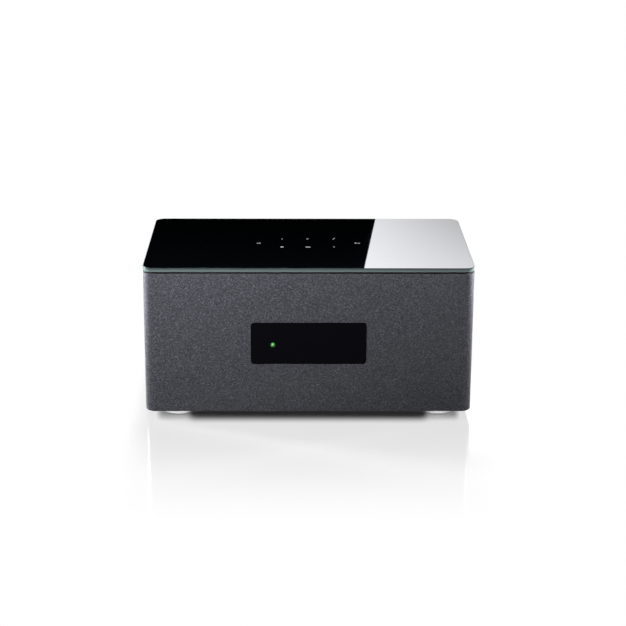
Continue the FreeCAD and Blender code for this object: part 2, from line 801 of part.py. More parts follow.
def status_led():
    """A round lamp on the display board: a flange, a barrel and a blunt nose."""
    body = new_body("status_led")
    nose_root = "case_front - led_proud + led_nose_height"
    flange_front = "display_board_front - led_flange_height"
    pad(body, "LampFlange", "XZ", flange_front, "display_board_front",
        facets("led_x", "led_z", "led_flange_radius", THREAD_SIDES))
    pad(body, "LampBarrel", "XZ", nose_root, flange_front, facets("led_x", "led_z", "led_radius", THREAD_SIDES))
    nose = pad(body, "LampNose", "XZ", "case_front - led_proud", nose_root,
               facets("led_x", "led_z", "led_radius", THREAD_SIDES))
    bind(nose, "TaperAngle", "-led_nose_angle")


def infrared_receiver():
    """A small sensor block with a tapered front, on the display board."""
    body = new_body("infrared_receiver")
    face = "display_board_front - receiver_thickness"
    pad(body, "ReceiverBlock", "YZ", "receiver_x - receiver_width/2", "receiver_x + receiver_width/2", outline(
        ("display_board_front", "window_z - receiver_height/2"),
        ("display_board_front", "window_z + receiver_height/2"),
        (f"{face} + receiver_taper", "window_z + receiver_height/2"),
        (face, "window_z + receiver_height/2 - receiver_taper"),
        (face, "window_z - receiver_height/2 + receiver_taper"),
        (f"{face} + receiver_taper", "window_z - receiver_height/2")))


def touch_board():
    body = new_body("touch_board")
    pad(body, "TouchBoard", "XY", "glass_bottom - touch_board_thickness", "glass_bottom",
        rectangle("0", "case_middle", "touch_board_width", "touch_board_depth"))


# Speaker terminals

def terminal_block():
    """A moulded plate with a hexagon seat that keeps each post from turning."""
    body = new_body("terminal_block")
    pad(body, "BlockPlate", "XZ", "inner_rear", "block_front",
        clipped("terminal_x", "lower_row_z", "block_width", "block_height", "terminal_block_radius"))
    cut(body, "CollarSeats", "XZ", "collar_rear", "block_front",
        *[hexagon(x, z, "collar_flats + 2*screw_fit") for x, z in TERMINALS])
    cut(body, "BlockHoles", "XZ", "inner_rear", "collar_rear",
        *[faceted_hole(x, z, "stud_radius + plate_fit", HIDDEN_SIDES) for x, z in TERMINALS])


def terminal_posts():
    """Studs with one flat, a hexagon collar and a bore for a plug in the tip."""
    body = new_body("terminal_posts")
    pad(body, "Tails", "XZ", "panel_inner - stud_tail", "collar_rear",
        *[facets(x, z, "stud_radius", HIDDEN_SIDES) for x, z in TERMINALS])
    pad(body, "Collars", "XZ", "collar_rear", "collar_front",
        *[hexagon(x, z, "collar_flats") for x, z in TERMINALS])
    pad(body, "Studs", "XZ", "collar_front", "stud_tip",
        *[facets(x, z, "stud_radius", THREAD_SIDES) for x, z in TERMINALS])
    cut(body, "StudFlats", "XZ", "collar_front", "stud_tip",
        *[box(f"{x} - stud_radius", f"{x} + stud_radius", f"{z} + stud_flat", f"{z} + 2*stud_radius - stud_flat")
          for x, z in TERMINALS])
    cut(body, "PlugBores", "XZ", "stud_tip - plug_bore_depth", "stud_tip",
        *[circle(x, z, "plug_bore_radius") for x, z in TERMINALS])


def terminal_nuts():
    body = new_body("terminal_nuts")
    pad(body, "Nuts", "XZ", "nut_rear", "nut_front", *[hexagon(x, z, "nut_flats") for x, z in TERMINALS])
    cut(body, "NutThreads", "XZ", "nut_rear", "nut_front",
        *[faceted_hole(x, z, "stud_radius + thread_fit", HIDDEN_SIDES) for x, z in TERMINALS])


def terminal_board():
    body = new_body("terminal_board")
    pad(body, "TerminalBoard", "XZ", "nut_front", "panel_inner",
        rectangle("terminal_x", "lower_row_z", "block_width", "terminal_row_pitch + 2*terminal_board_margin"))
    cut(body, "TerminalBoardHoles", "XZ", "nut_front", "panel_inner",
        *[faceted_hole(x, z, "stud_radius + plate_fit", HIDDEN_SIDES) for x, z in TERMINALS])


def terminal_washer(number, x, z):
    """A clamp washer kept from turning by the flat of its stud."""
    body = new_body(f"terminal_washer_{number}")
    pad(body, "WasherPlate", "XZ", "0", "washer_thickness", hexagon("0", "0", "washer_flats"))
    cut(body, "WasherBore", "XZ", "0", "washer_thickness",
        faceted_hole("0", "0", "stud_radius + thread_fit", THREAD_SIDES))
    pad(body, "WasherKey", "XZ", "0", "washer_thickness",
        box("-key_half", "key_half", "stud_flat + thread_fit", "stud_radius + 3*thread_fit"))
    place(body, x, "washer_rear", z)


def terminal_cap(number, x, z):
    """A fluted screw cap: ridges and V grooves in turn round a through bore."""
    body = new_body(f"terminal_cap_{number}")
    ridge = 360/FLUTES
    corners = []
    for index in range(FLUTES):
        for share, radius in ((0.0, "cap_radius"), (0.4, "cap_radius"), (0.7, "cap_radius - cap_flute_depth")):
            turn_to = ridge*(index + share)
            corners.append((f"({radius})*cos({turn_to})", f"({radius})*sin({turn_to})"))
    pad(body, "CapGrip", "XZ", "0", "cap_length", outline(*corners))
    cut(body, "CapBore", "XZ", "0", "cap_length",
        faceted_hole("0", "0", "stud_radius + thread_fit", THREAD_SIDES))
    place(body, x, "cap_rear", z)


# Mains inlet and power switch

def mains_inlet():
    body = new_body("mains_inlet")
    flange_front = "inner_rear + inlet_flange_thickness"
    pad(body, "InletBody", "XZ", "inner_rear - inlet_body_depth", "inner_rear",
        rectangle("inlet_x", "lower_row_z", "inlet_body_width", "inlet_body_height"))
    pad(body, "InletFlange", "XZ", "inner_rear", flange_front,
        clipped("inlet_x", "lower_row_z", "inlet_flange_width", "inlet_flange_height", "inlet_corner"))
    cut(body, "InletCavity", "XZ", f"{flange_front} - inlet_cavity_depth", flange_front,
        inlet_cavity_profile())
    cut(body, "InletScrewHoles", "XZ", "inner_rear", flange_front,
        *[faceted_hole(x, "lower_row_z", "case_screw_radius + screw_fit", HIDDEN_SIDES)
          for x in INLET_SCREWS])
    cut(body, "InletPinHoles", "XZ", "inner_rear - inlet_body_depth", f"{flange_front} - inlet_cavity_depth",
        *[rectangle(x, z, "inlet_pin_width", "inlet_pin_height") for x, z in INLET_PINS])


def inlet_cavity_profile():
    """The socket's hollow: two upper corners are cut away aslant."""
    left = "inlet_x - inlet_cavity_width/2"
    right = "inlet_x + inlet_cavity_width/2"
    low = "lower_row_z - inlet_cavity_height/2"
    high = "lower_row_z + inlet_cavity_height/2"
    return outline((left, low), (right, low), (right, f"{high} - inlet_cavity_corner"),
                   (f"{right} - inlet_cavity_corner", high), (f"{left} + inlet_cavity_corner", high),
                   (left, f"{high} - inlet_cavity_corner"))


def inlet_pins():
    body = new_body("inlet_pins")
    cavity_floor = "inner_rear + inlet_flange_thickness - inlet_cavity_depth"
    pad(body, "Pins", "XZ", "inner_rear - inlet_body_depth - inlet_pin_tail",
        f"{cavity_floor} + inlet_pin_length",
        *[rectangle(x, z, "inlet_pin_width", "inlet_pin_height") for x, z in INLET_PINS])


def switch_frame():
    body = new_body("switch_frame")
    front = "inner_rear + switch_bezel_thickness"
    pad(body, "SwitchBody", "XZ", "inner_rear - switch_body_depth", "inner_rear",
        rectangle("inlet_x", "switch_z", "switch_width", "switch_height"))
    pad(body, "SwitchBezel", "XZ", "inner_rear", front,
        clipped("inlet_x", "switch_z", "switch_width + 2*switch_bezel", "switch_height + 2*switch_bezel",
                "switch_bezel"))
    cut(body, "SwitchOpening", "XZ", f"{front} - switch_opening_depth", front,
        rectangle("inlet_x", "switch_z", "switch_width - 2*switch_lip", "switch_height - 2*switch_lip"))
    cut(body, "RockerBearings", "YZ", "inlet_x - switch_width/2", "inlet_x + switch_width/2",
        faceted_hole("rocker_y", "switch_z", "rocker_pin_radius + rocker_pin_fit", THREAD_SIDES))


def switch_rocker():
    """A rocker with a shallow V face, tilted about its two side pins to one of its stops."""
    body = new_body("switch_rocker")
    pad(body, "RockerFace", "YZ", "-rocker_half_width", "rocker_half_width", outline(
        ("rocker_rise", "-rocker_half_height"),
        ("rocker_valley", "0"),
        ("rocker_rise", "rocker_half_height"),
        ("0", "rocker_half_height"),
        ("-rocker_skirt", "rocker_half_height - rocker_taper"),
        ("-rocker_skirt", "-(rocker_half_height - rocker_taper)"),
        ("0", "-rocker_half_height")))
    pad(body, "RockerPins", "YZ", "-(rocker_half_width + rocker_pin_length)",
        "rocker_half_width + rocker_pin_length", circle("0", "0", "rocker_pin_radius"))
    body.Placement = FreeCAD.Placement(FreeCAD.Vector(), FreeCAD.Rotation(FreeCAD.Vector(-1, 0, 0), 1))
    bind(body, ".Placement.Rotation.Angle", "rocker_half_angle")
    place(body, "inlet_x", "rocker_y", "switch_z")


# Signal sockets

def hdmi_profile(x, inset):
    """The socket's outline, with its two lower corners cut away aslant."""
    half = f"(hdmi_width/2 - ({inset}))"
    high = f"hdmi_z + hdmi_height/2 - ({inset})"
    low = f"hdmi_z - hdmi_height/2 + ({inset})"
    slope = "hdmi_slope"
    return outline((f"{x} - {half}", high), (f"{x} - {half}", f"{low} + {slope}"),
                   (f"{x} - {half} + {slope}", low), (f"{x} + {half} - {slope}", low),
                   (f"{x} + {half}", f"{low} + {slope}"), (f"{x} + {half}", high))


def hdmi_socket(number, x):
    body = new_body(f"hdmi_socket_{number}")
    back = "socket_mouth - hdmi_depth"
    pad(body, "HdmiShell", "XZ", back, "socket_mouth", hdmi_profile(x, "0"))
    cut(body, "HdmiHollow", "XZ", f"{back} + hdmi_floor", "socket_mouth", hdmi_profile(x, "hdmi_wall"))
    pad(body, "HdmiTongue", "XZ", f"{back} + hdmi_floor", "socket_mouth - hdmi_tongue_setback",
        rectangle(x, "hdmi_z + hdmi_wall", "hdmi_tongue_width", "hdmi_tongue_thickness"))


def network_socket():
    body = new_body("network_socket")
    floor = "socket_mouth - network_cavity_depth"
    low = "network_z - network_height/2 + network_floor"
    pad(body, "NetworkBody", "XZ", "socket_mouth - network_depth", "socket_mouth",
        rectangle("network_x", "network_z", "network_width", "network_height"))
    cut(body, "NetworkHollow", "XZ", floor, "socket_mouth",
        box("network_x - network_cavity_width/2", "network_x + network_cavity_width/2", low,
            f"{low} + network_cavity_height"))
    cut(body, "NetworkKey", "XZ", floor, "socket_mouth",
        box("network_x - network_key_width/2", "network_x + network_key_width/2",
            f"{low} + network_cavity_height", f"{low} + network_cavity_height + network_key_height"))


def optical_socket():
    body = new_body("optical_socket")
    pad(body, "OpticalBody", "XZ", "socket_mouth - optical_depth", "socket_mouth",
        rectangle("optical_x", "optical_z", "optical_size", "optical_size"))
    cut(body, "OpticalMouth", "XZ", "socket_mouth - optical_mouth_depth", "socket_mouth",
        rectangle("optical_x", "optical_z", "optical_mouth", "optical_mouth"))
    reach = "(optical_mouth/2 + optical_pin_reach + optical_pin_fit)"
    cut(body, "ShutterBearings", "YZ", f"optical_x - {reach}", f"optical_x + {reach}",
        faceted_hole("shutter_y", "shutter_z", "optical_pin_radius + optical_pin_fit", THREAD_SIDES))


def optical_shutter():
    """A dust flap that hangs from its pin across the top of the mouth."""
    body = new_body("optical_shutter")
    half = "(optical_mouth/2 - shutter_gap)"
    pad(body, "Flap", "YZ", f"-{half}", half,
        box("-shutter_thickness/2", "shutter_thickness/2",
            "-(optical_mouth - 2*shutter_gap - shutter_thickness/2)", "0"))
    pad(body, "FlapPin", "YZ", "-(optical_mouth/2 + optical_pin_reach)", "optical_mouth/2 + optical_pin_reach",
        circle("0", "0", "optical_pin_radius"))
    place(body, "optical_x", "shutter_y", "shutter_z")


def phono_block():
    """The insulating body of the phono sockets, with a barrel for each shell."""
    body = new_body("phono_block")
    face = "panel_inner - plate_fit"
    pad(body, "PhonoBody", "XZ", f"{face} - phono_block_depth", face,
        box("phono_x - phono_pitch/2 - phono_block_margin", "phono_x + phono_pitch/2 + phono_block_margin",
            "main_top", "phono_z + phono_pitch/2 + phono_block_margin"))
    pad(body, "PhonoCores", "XZ", face, "phono_tip - phono_core_recess",
        *[facets(x, z, "phono_shell_radius - phono_shell_wall - screw_fit", THREAD_SIDES) for x, z in PHONOS])
    cut(body, "PhonoBores", "XZ", "phono_tip - phono_core_recess - phono_pin_depth",
        "phono_tip - phono_core_recess",
        *[faceted_hole(x, z, "phono_pin_radius", SHOWN_SIDES) for x, z in PHONOS])


def phono_shells():
    body = new_body("phono_shells")
    pad(body, "Shells", "XZ", "panel_inner - plate_fit", "phono_tip",
        *[facets(x, z, "phono_shell_radius", PAD_SIDES) for x, z in PHONOS])
    cut(body, "ShellBores", "XZ", "panel_inner - plate_fit", "phono_tip",
        *[faceted_hole(x, z, "phono_shell_radius - phono_shell_wall", THREAD_SIDES) for x, z in PHONOS])


def pairing_button():
    """A round button with a flange behind the panel and a thin stem."""
    body = new_body("pairing_button")
    flange_front = "-(panel_thickness + clamp_gap)"
    flange_rear = f"{flange_front} - button_flange_height"
    pad(body, "ButtonFace", "XZ", flange_front, "button_proud",
        facets("0", "0", "button_radius", THREAD_SIDES))
    pad(body, "ButtonFlange", "XZ", flange_rear, flange_front,
        facets("0", "0", "button_flange_radius", HIDDEN_SIDES))
    pad(body, "ButtonStem", "XZ", "-(panel_thickness + button_stem)", flange_rear,
        facets("0", "0", "button_stem_radius", HIDDEN_SIDES))
    place(body, "button_x", "inner_rear", "button_z")


def pairing_switch():
    body = new_body("pairing_switch")
    front = "panel_inner - button_stem - button_travel - plate_fit"
    pad(body, "PairingSwitch", "XY", "main_top", "main_top + pairing_switch_height",
        box("button_x - pairing_switch_width/2", "button_x + pairing_switch_width/2",
            f"{front} - pairing_switch_depth", front))


# Boards and what they carry

def pin_holes(body, name, low, high, places):
    cut(body, name, "XY", low, high,
        *[faceted_hole(x, y, "standoff_pin_radius + standoff_fit", HIDDEN_SIDES) for x, y in places])


def main_board():
    body = new_body("main_board")
    pad(body, "MainBoard", "XY", "main_bottom", "main_top",
        box("-boards_outer", "main_right", "boards_front", "main_rear"))
    pin_holes(body, "MainHoles", "main_bottom", "main_top", TALL_POSTS)


def amplifier_board():
    body = new_body("amplifier_board")
    pad(body, "AmplifierBoard", "XY", "boards_bottom", "boards_top",
        rectangle("sink_x", "boards_middle", "boards_width", "boards_depth"))
    pin_holes(body, "AmplifierHoles", "boards_bottom", "boards_top", POSTS[:4])


def power_board():
    body = new_body("power_board")
    pad(body, "PowerBoard", "XY", "boards_bottom", "boards_top",
        rectangle("power_x", "boards_middle", "boards_width", "boards_depth"))
    pin_holes(body, "PowerHoles", "boards_bottom", "boards_top", POSTS[4:])


def board_standoffs():
    """Posts that snap into the boards, with tall ones between the lower boards and the main board."""
    body = new_body("board_standoffs")
    pad(body, "ShortPosts", "XY", "base_top", "boards_bottom",
        *[hexagon(x, y, "standoff_flats") for x, y in POSTS])
    pad(body, "ShortPins", "XY", "boards_bottom", "boards_bottom + standoff_pin_height",
        *[facets(x, y, "standoff_pin_radius", HIDDEN_SIDES) for x, y in POSTS])
    pad(body, "TallPosts", "XY", "boards_top", "main_bottom",
        *[hexagon(x, y, "standoff_flats") for x, y in TALL_POSTS])
    pad(body, "TallPins", "XY", "main_bottom", "main_bottom + standoff_pin_height",
        *[facets(x, y, "standoff_pin_radius", HIDDEN_SIDES) for x, y in TALL_POSTS])


def heat_sink():
    body = new_body("heat_sink")
    left = "(sink_x - sink_width/2)"
    pad(body, "SinkBase", "XY", "boards_top", "sink_base_top",
        rectangle("sink_x", "boards_middle", "sink_width", "sink_depth"))
    fin = pad(body, "Fin", "XY", "sink_base_top", "sink_top",
              box(left, f"{left} + sink_fin_thickness", "boards_middle - sink_depth/2",
                  "boards_middle + sink_depth/2"))
    row_of(body, "Fins", fin, "X", "sink_width - sink_fin_thickness", "sink_fin_count")


def transformer():
    """A ferrite core round an upright coil former."""
    body = new_body("transformer")
    y = "boards_rear - transformer_setback"
    middle = "(boards_top + transformer_core_height/2)"
    pad(body, "Core", "XY", "boards_top", "boards_top + transformer_core_height",
        rectangle("power_x", y, "transformer_core_width", "transformer_core_depth"))
    pad(body, "Coil", "XY", f"{middle} - transformer_coil_height/2", f"{middle} + transformer_coil_height/2",
        clipped("power_x", y, "transformer_coil_width", "transformer_coil_depth",
                "transformer_coil_radius"))


def reservoir_capacitors():
    body = new_body("reservoir_capacitors")
    pad(body, "Capacitors", "XY", "boards_top", "boards_top + capacitor_height",
        *[facets(f"power_x + {side}*capacitor_pitch/2", "boards_front + capacitor_setback", "capacitor_radius",
                 PAD_SIDES) for side in (-1, 1)])


def shield_can():
    body = new_body("shield_can")
    pad(body, "Can", "XY", "main_top", "main_top + shield_height",
        clipped("shield_x", "boards_middle", "shield_width", "shield_depth", "shield_radius"))


# Flat cables with a plug at each end

def display_ribbon():
    body = new_body("display_ribbon")
    left = "-ribbon_width/2"
    right = "ribbon_width/2"
    plug_face = "(display_board_back + ribbon_plug_height)"
    crest = "(main_top + ribbon_plug_height)"
    rise = "(boards_front - ribbon_clearance)"
    board_plug = "(boards_front + ribbon_clearance)"
    pad(body, "DisplayPlug", "YZ", left, right,
        box("display_board_back", plug_face, "window_z - ribbon_plug_depth/2", "window_z + ribbon_plug_depth/2"))
    pad(body, "MainPlug", "YZ", left, right,
        box(board_plug, f"{board_plug} + ribbon_plug_depth", "main_top", crest))
    pad(body, "DisplayRibbon", "YZ", left, right, outline(
        (plug_face, "window_z"),
        (f"{rise} + ribbon_thickness", "window_z"),
        (f"{rise} + ribbon_thickness", f"{crest} - 2*ribbon_thickness"),
        (board_plug, f"{crest} - 2*ribbon_thickness"),
        (board_plug, f"{crest} - ribbon_thickness"),
        (rise, f"{crest} - ribbon_thickness"),
        (rise, "window_z + ribbon_thickness"),
        (plug_face, "window_z + ribbon_thickness")))


def touch_ribbon():
    body = new_body("touch_ribbon")
    left = "touch_ribbon_x - ribbon_width/2"
    right = "touch_ribbon_x + ribbon_width/2"
    front = "touch_ribbon_y - ribbon_plug_depth/2"
    rear = "touch_ribbon_y + ribbon_plug_depth/2"
    board_face = "glass_bottom - touch_board_thickness"
    pad(body, "TouchPlug", "YZ", left, right,
        box(front, rear, f"{board_face} - ribbon_plug_height", board_face))
    pad(body, "LowerPlug", "YZ", left, right, box(front, rear, "main_top", "main_top + ribbon_plug_height"))
    pad(body, "TouchRibbon", "YZ", left, right,
        box("touch_ribbon_y - ribbon_thickness/2", "touch_ribbon_y + ribbon_thickness/2",
            "main_top + ribbon_plug_height", f"{board_face} - ribbon_plug_height"))


def speaker_ribbon():
    body = new_body("speaker_ribbon")
    middle = "terminal_x - terminal_column_pitch/2"
    left = f"{middle} - speaker_ribbon_width/2"
    right = f"{middle} + speaker_ribbon_width/2"
    plug_rear = "(boards_rear - ribbon_thickness)"
    low = "(boards_top + ribbon_plug_height/2)"
    rise = "(nut_rear - ribbon_clearance)"
    high = "(lower_row_z - speaker_ribbon_rise)"
    pad(body, "AmplifierPlug", "YZ", left, right,
        box(f"{plug_rear} - ribbon_plug_depth", plug_rear, "boards_top", "boards_top + ribbon_plug_height"))
    pad(body, "TerminalPlug", "YZ", left, right,
        box("nut_front - ribbon_plug_height", "nut_front", f"{high} - ribbon_plug_depth/2",
            f"{high} + ribbon_plug_depth/2"))
    pad(body, "SpeakerRibbon", "YZ", left, right, outline(
        (plug_rear, low),
        (rise, low),
        (rise, high),
        ("nut_front - ribbon_plug_height", high),
        ("nut_front - ribbon_plug_height", f"{high} + ribbon_thickness"),
        (f"{rise} - ribbon_thickness", f"{high} + ribbon_thickness"),
        (f"{rise} - ribbon_thickness", f"{low} + ribbon_thickness"),
        (plug_rear, f"{low} + ribbon_thickness")))


# Places shared by several pieces

FEET = {
    "front_left": ("-foot_x", "front_foot_y"),
    "front_right": ("foot_x", "front_foot_y"),
    "rear_left": ("-foot_x", "rear_foot_y"),
    "rear_right": ("foot_x", "rear_foot_y"),
}
CASE_SCREWS = four_ways("boss_x", "front_boss_y", "rear_boss_y")
POSTS = [(f"{side}*({x})", y) for side in (-1, 1) for x in ("post_x_outer", "post_x_inner")
         for y in ("post_y_front", "post_y_rear")]
TALL_POSTS = [POSTS[0], POSTS[1], POSTS[6], POSTS[7]]
TERMINALS = [(f"terminal_x + ({column} - (terminal_columns - 1)/2)*terminal_column_pitch",
              f"lower_row_z + {row}*terminal_row_pitch/2")
             for row in (1, -1) for column in range(int(SIZES["terminal_columns"]))]
INLET_SCREWS = ["inlet_x - inlet_screw_pitch/2", "inlet_x + inlet_screw_pitch/2"]
INLET_PINS = [
    ("inlet_x - inlet_pin_pitch/2", "lower_row_z - inlet_pin_drop"),
    ("inlet_x", "lower_row_z + inlet_earth_rise"),
    ("inlet_x + inlet_pin_pitch/2", "lower_row_z - inlet_pin_drop"),
]
HDMI_PLACES = ["hdmi_x", "hdmi_x + hdmi_pitch", "hdmi_x + 2*hdmi_pitch"]
PHONOS = [(f"phono_x + {x}*phono_pitch/2", f"phono_z + {z}*phono_pitch/2") for x in (-1, 1) for z in (-1, 1)]

# Build every sub-part
housing_sleeve()
top_frame()
glass_gasket()
top_glass()
base_plate()
rear_panel()
for corner, (x, y) in FEET.items():
    foot(corner, x, y)
foot_pads()
foot_screws()
case_screws()
display_window()
display_board()
display_module()
status_led()
infrared_receiver()
touch_board()
terminal_block()
terminal_posts()
terminal_nuts()
terminal_board()
for number, (x, z) in enumerate(TERMINALS, 1):
    terminal_washer(number, x, z)
    terminal_cap(number, x, z)
mains_inlet()
inlet_pins()
switch_frame()
switch_rocker()
for number, x in enumerate(HDMI_PLACES, 1):
    hdmi_socket(number, x)
network_socket()
optical_socket()
optical_shutter()
phono_block()
phono_shells()
pairing_button()
pairing_switch()
main_board()
amplifier_board()
power_board()
board_standoffs()
heat_sink()
transformer()
reservoir_capacitors()
shield_can()
display_ribbon()
touch_ribbon()
speaker_ribbon()
doc.recompute()

# Check the document before anything is written
for item in doc.Objects:
    if "Invalid" in item.State or "Error" in item.State:
        raise RuntimeError(f"{item.Name} failed: {item.State}")
    if item.TypeId in ("PartDesign::Pocket", "PartDesign::Pad") and item.BaseFeature is not None:
        change = item.Shape.Volume - item.BaseFeature.Shape.Volume
        if (change < 0) != (item.TypeId == "PartDesign::Pocket"):
            raise RuntimeError(f"{item.Name} changes the volume by {change}")
for node in nodes:
    if node.Shape.isNull() or not node.Shape.isValid() or node.Shape.Volume <= 0:
        raise RuntimeError(f"{node.Label} has no valid shape")

os.makedirs("parts", exist_ok=True)
for node in nodes:
    node.Shape.exportStep(f"parts/{node.Label}.step")
print(f"{len(nodes)} sub-parts written")
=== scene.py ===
# %% [markdown]
# A compact AV amplifier: a coated metal case with a black glass lid, four turned
# feet and a full row of sockets at the back. The solid model gives every piece its
# place. This script loads it, makes finer pieces where the eye comes close, and
# mixes a finish for each surface.

# %% Load the solid model
import bmesh
import bpy
import math
from mathutils import Matrix, Vector


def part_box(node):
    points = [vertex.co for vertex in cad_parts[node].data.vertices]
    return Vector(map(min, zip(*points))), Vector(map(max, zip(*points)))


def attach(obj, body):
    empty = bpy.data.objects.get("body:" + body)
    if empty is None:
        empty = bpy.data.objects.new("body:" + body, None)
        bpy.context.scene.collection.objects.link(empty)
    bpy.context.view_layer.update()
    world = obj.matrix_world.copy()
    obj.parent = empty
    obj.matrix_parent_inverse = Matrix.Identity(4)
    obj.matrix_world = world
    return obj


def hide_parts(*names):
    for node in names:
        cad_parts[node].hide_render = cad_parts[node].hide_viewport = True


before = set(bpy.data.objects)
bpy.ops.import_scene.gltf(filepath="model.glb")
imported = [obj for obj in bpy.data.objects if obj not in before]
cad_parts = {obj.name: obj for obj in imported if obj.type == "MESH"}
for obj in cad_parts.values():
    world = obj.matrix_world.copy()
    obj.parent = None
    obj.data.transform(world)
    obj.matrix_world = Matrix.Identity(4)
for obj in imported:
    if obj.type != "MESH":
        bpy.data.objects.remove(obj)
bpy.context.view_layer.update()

MM = 0.001

# %% [markdown]
# Nodes are easier to read as sums. A Wire holds one output of a node, and the
# operators on it add the Math nodes. Nodes adds any other node: it sets what the
# node needs first, and then fills its sockets. A Finish is one material.

# %% Write node trees as Python
class Wire:
    """One output of a node."""

    def __init__(self, nodes, socket):
        self.nodes = nodes
        self.socket = socket

    def sum(self, operation, first, second=0.0):
        return self.nodes.node("ShaderNodeMath", {"operation": operation}, {0: first, 1: second})

    def __add__(self, other):
        return self.sum("ADD", self, other)

    def __mul__(self, other):
        return self.sum("MULTIPLY", self, other)

    def __sub__(self, other):
        return self.sum("SUBTRACT", self, other)

    def __rsub__(self, other):
        return self.sum("SUBTRACT", other, self)

    def __gt__(self, other):
        return self.sum("GREATER_THAN", self, other)

    def __pow__(self, other):
        return self.sum("POWER", self, other)

    def __abs__(self):
        return self.sum("ABSOLUTE", self)

    def larger(self, other):
        return self.sum("MAXIMUM", self, other)


class Nodes:
    """The nodes of a material, of the world or of a shape."""

    def __init__(self, tree):
        self.tree = tree

    def node(self, kind, settings=None, inputs=None, output=0):
        """Add a node and give one output. A list of wires goes to one socket."""
        made = self.tree.nodes.new(kind)
        for name, value in (settings or {}).items():
            if name == "stops":
                while len(made.color_ramp.elements) < len(value):
                    made.color_ramp.elements.new(0.5)
                for element, (position, color) in zip(made.color_ramp.elements, value):
                    element.position = position
                    element.color = (*color, 1)
            else:
                setattr(made, name, value)
        for name, value in (inputs or {}).items():
            for item in value if isinstance(value, list) else [value]:
                if isinstance(item, Wire):
                    self.tree.links.new(item.socket, made.inputs[name])
                else:
                    made.inputs[name].default_value = item
        return Wire(self, made.outputs[output])

    def rays(self, kind):
        """1 for the rays of a kind, such as Is Camera Ray."""
        return self.node("ShaderNodeLightPath", output=kind)


class Finish(Nodes):
    """A material with one Principled shader, mixed node by node."""

    def __init__(self, name, **plain):
        self.material = bpy.data.materials.new(name)
        self.material.use_nodes = True
        super().__init__(self.material.node_tree)
        self.shader = self.tree.nodes["Principled BSDF"]
        for socket, value in plain.items():
            self.shader.inputs[socket.replace("_", " ")].default_value = value

    def feed(self, socket, wire):
        self.tree.links.new(wire.socket, self.shader.inputs[socket])

    def surface(self, wire):
        """Let another shader than the Principled one reach the surface."""
        self.tree.links.new(wire.socket, self.tree.nodes["Material Output"].inputs["Surface"])

    def place(self):
        return self.node("ShaderNodeTexCoord", output="Object")

    def along(self, axis):
        """One coordinate of the place that is shaded."""
        return self.node("ShaderNodeSeparateXYZ", {}, {0: self.place()}, axis)

    def noise(self, scale, detail=2.0, roughness=0.5, place=None):
        """Noise with about `scale` blobs in each metre."""
        return self.node("ShaderNodeTexNoise", {}, {
            "Vector": place or self.place(), "Scale": scale, "Detail": detail, "Roughness": roughness})

    def blend(self, factor, first, second):
        """A colour between two others."""
        return self.node("ShaderNodeMix", {"data_type": "RGBA"}, {0: factor, 6: first, 7: second}, 2)

    def ramp(self, factor, *stops):
        return self.node("ShaderNodeValToRGB", {"stops": stops}, {"Fac": factor})

    def bump(self, height, depth, strength=0.5):
        """Raise the surface by up to `depth` metres."""
        self.feed("Normal", self.node("ShaderNodeBump", {}, {
            "Height": height, "Distance": depth, "Strength": strength}))


print("node helpers ready")

# %% [markdown]
# The case has a textured powder coat: dark anthracite with a fine, lighter grain.
# A pattern of small cells and a finer noise make the grain, and a few of the cells
# are flakes that are lighter still. Both patterns also lift the surface a little,
# so that the light breaks up on it.

# %% Textured coats
COAT_GLOSS = 0.27
CELLS_PER_METRE = 1350.0
SPECKS_PER_METRE = 2600
FLAKES_ABOVE = 0.93
COAT_RELIEF = 0.06*MM


def textured_coat(name, dark, light, flake, roughness):
    coat = Finish(name, Specular_IOR_Level=COAT_GLOSS)
    cell = coat.node("ShaderNodeTexVoronoi", {}, {
        "Vector": coat.place(), "Scale": CELLS_PER_METRE, "Randomness": 1.0}, "Color")
    grain = coat.node("ShaderNodeSeparateXYZ", {}, {0: cell}, "X")
    fine = coat.noise(SPECKS_PER_METRE, 2.0, 0.6)
    body = coat.ramp(grain * 0.6 + fine * 0.4, (0.25, dark), (0.75, light))
    coat.feed("Base Color", coat.blend((grain > FLAKES_ABOVE) * 0.5, body, (*flake, 1)))
    coat.feed("Roughness", fine * 0.12 + (roughness - 0.06))
    coat.bump(grain * 0.3 + fine * 0.7, COAT_RELIEF)
    return coat.material


case_coat = textured_coat(
    "case_coat", (0.019, 0.0195, 0.024), (0.063, 0.065, 0.079), (0.14, 0.14, 0.165), 0.36)
plate_coat = textured_coat(
    "plate_coat", (0.008, 0.008, 0.009), (0.02, 0.02, 0.022), (0.05, 0.05, 0.055), 0.5)
print("coats", case_coat.name, plate_coat.name)

# %% [markdown]
# The lid is float glass, painted black underneath. From above it is a black mirror.
# Its polished edge shows the green of the glass. Its colour is painted with light and
# shade by height: lighter low down, where light that comes in there would leave, and
# darker along its top. Between the two, the broken corner or arris is dull and dark.
# The window is smoked acrylic, nearly black.

# %% Glass and acrylic
GLASS_LOW, GLASS_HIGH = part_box("top_glass")
GLASS_IOR = 1.52

lid_face = Finish("lid_face", Base_Color=(0.0002, 0.0003, 0.0004, 1), IOR=GLASS_IOR)
wiped = lid_face.noise(9, 3.0)
lid_face.feed("Roughness", wiped * 0.02 + 0.008)

lid_edge = Finish("lid_edge", Roughness=0.16, IOR=GLASS_IOR)
# Painted light and shade on the edge: lighter low down, darker along its top.
share = (lid_edge.along("Z") - GLASS_LOW.z) * (1/(GLASS_HIGH.z - GLASS_LOW.z))
lid_edge.feed("Base Color", lid_edge.ramp(
    share + lid_edge.noise(60) * 0.08, (0.1, (0.10, 0.135, 0.13)), (0.5, (0.06, 0.088, 0.084)),
    (0.85, (0.016, 0.03, 0.029))))

lid_arris = Finish("lid_arris", Base_Color=(0.01, 0.017, 0.017, 1), Specular_IOR_Level=0.1)
lid_arris.feed("Roughness", lid_arris.noise(60) * 0.1 + 0.35)

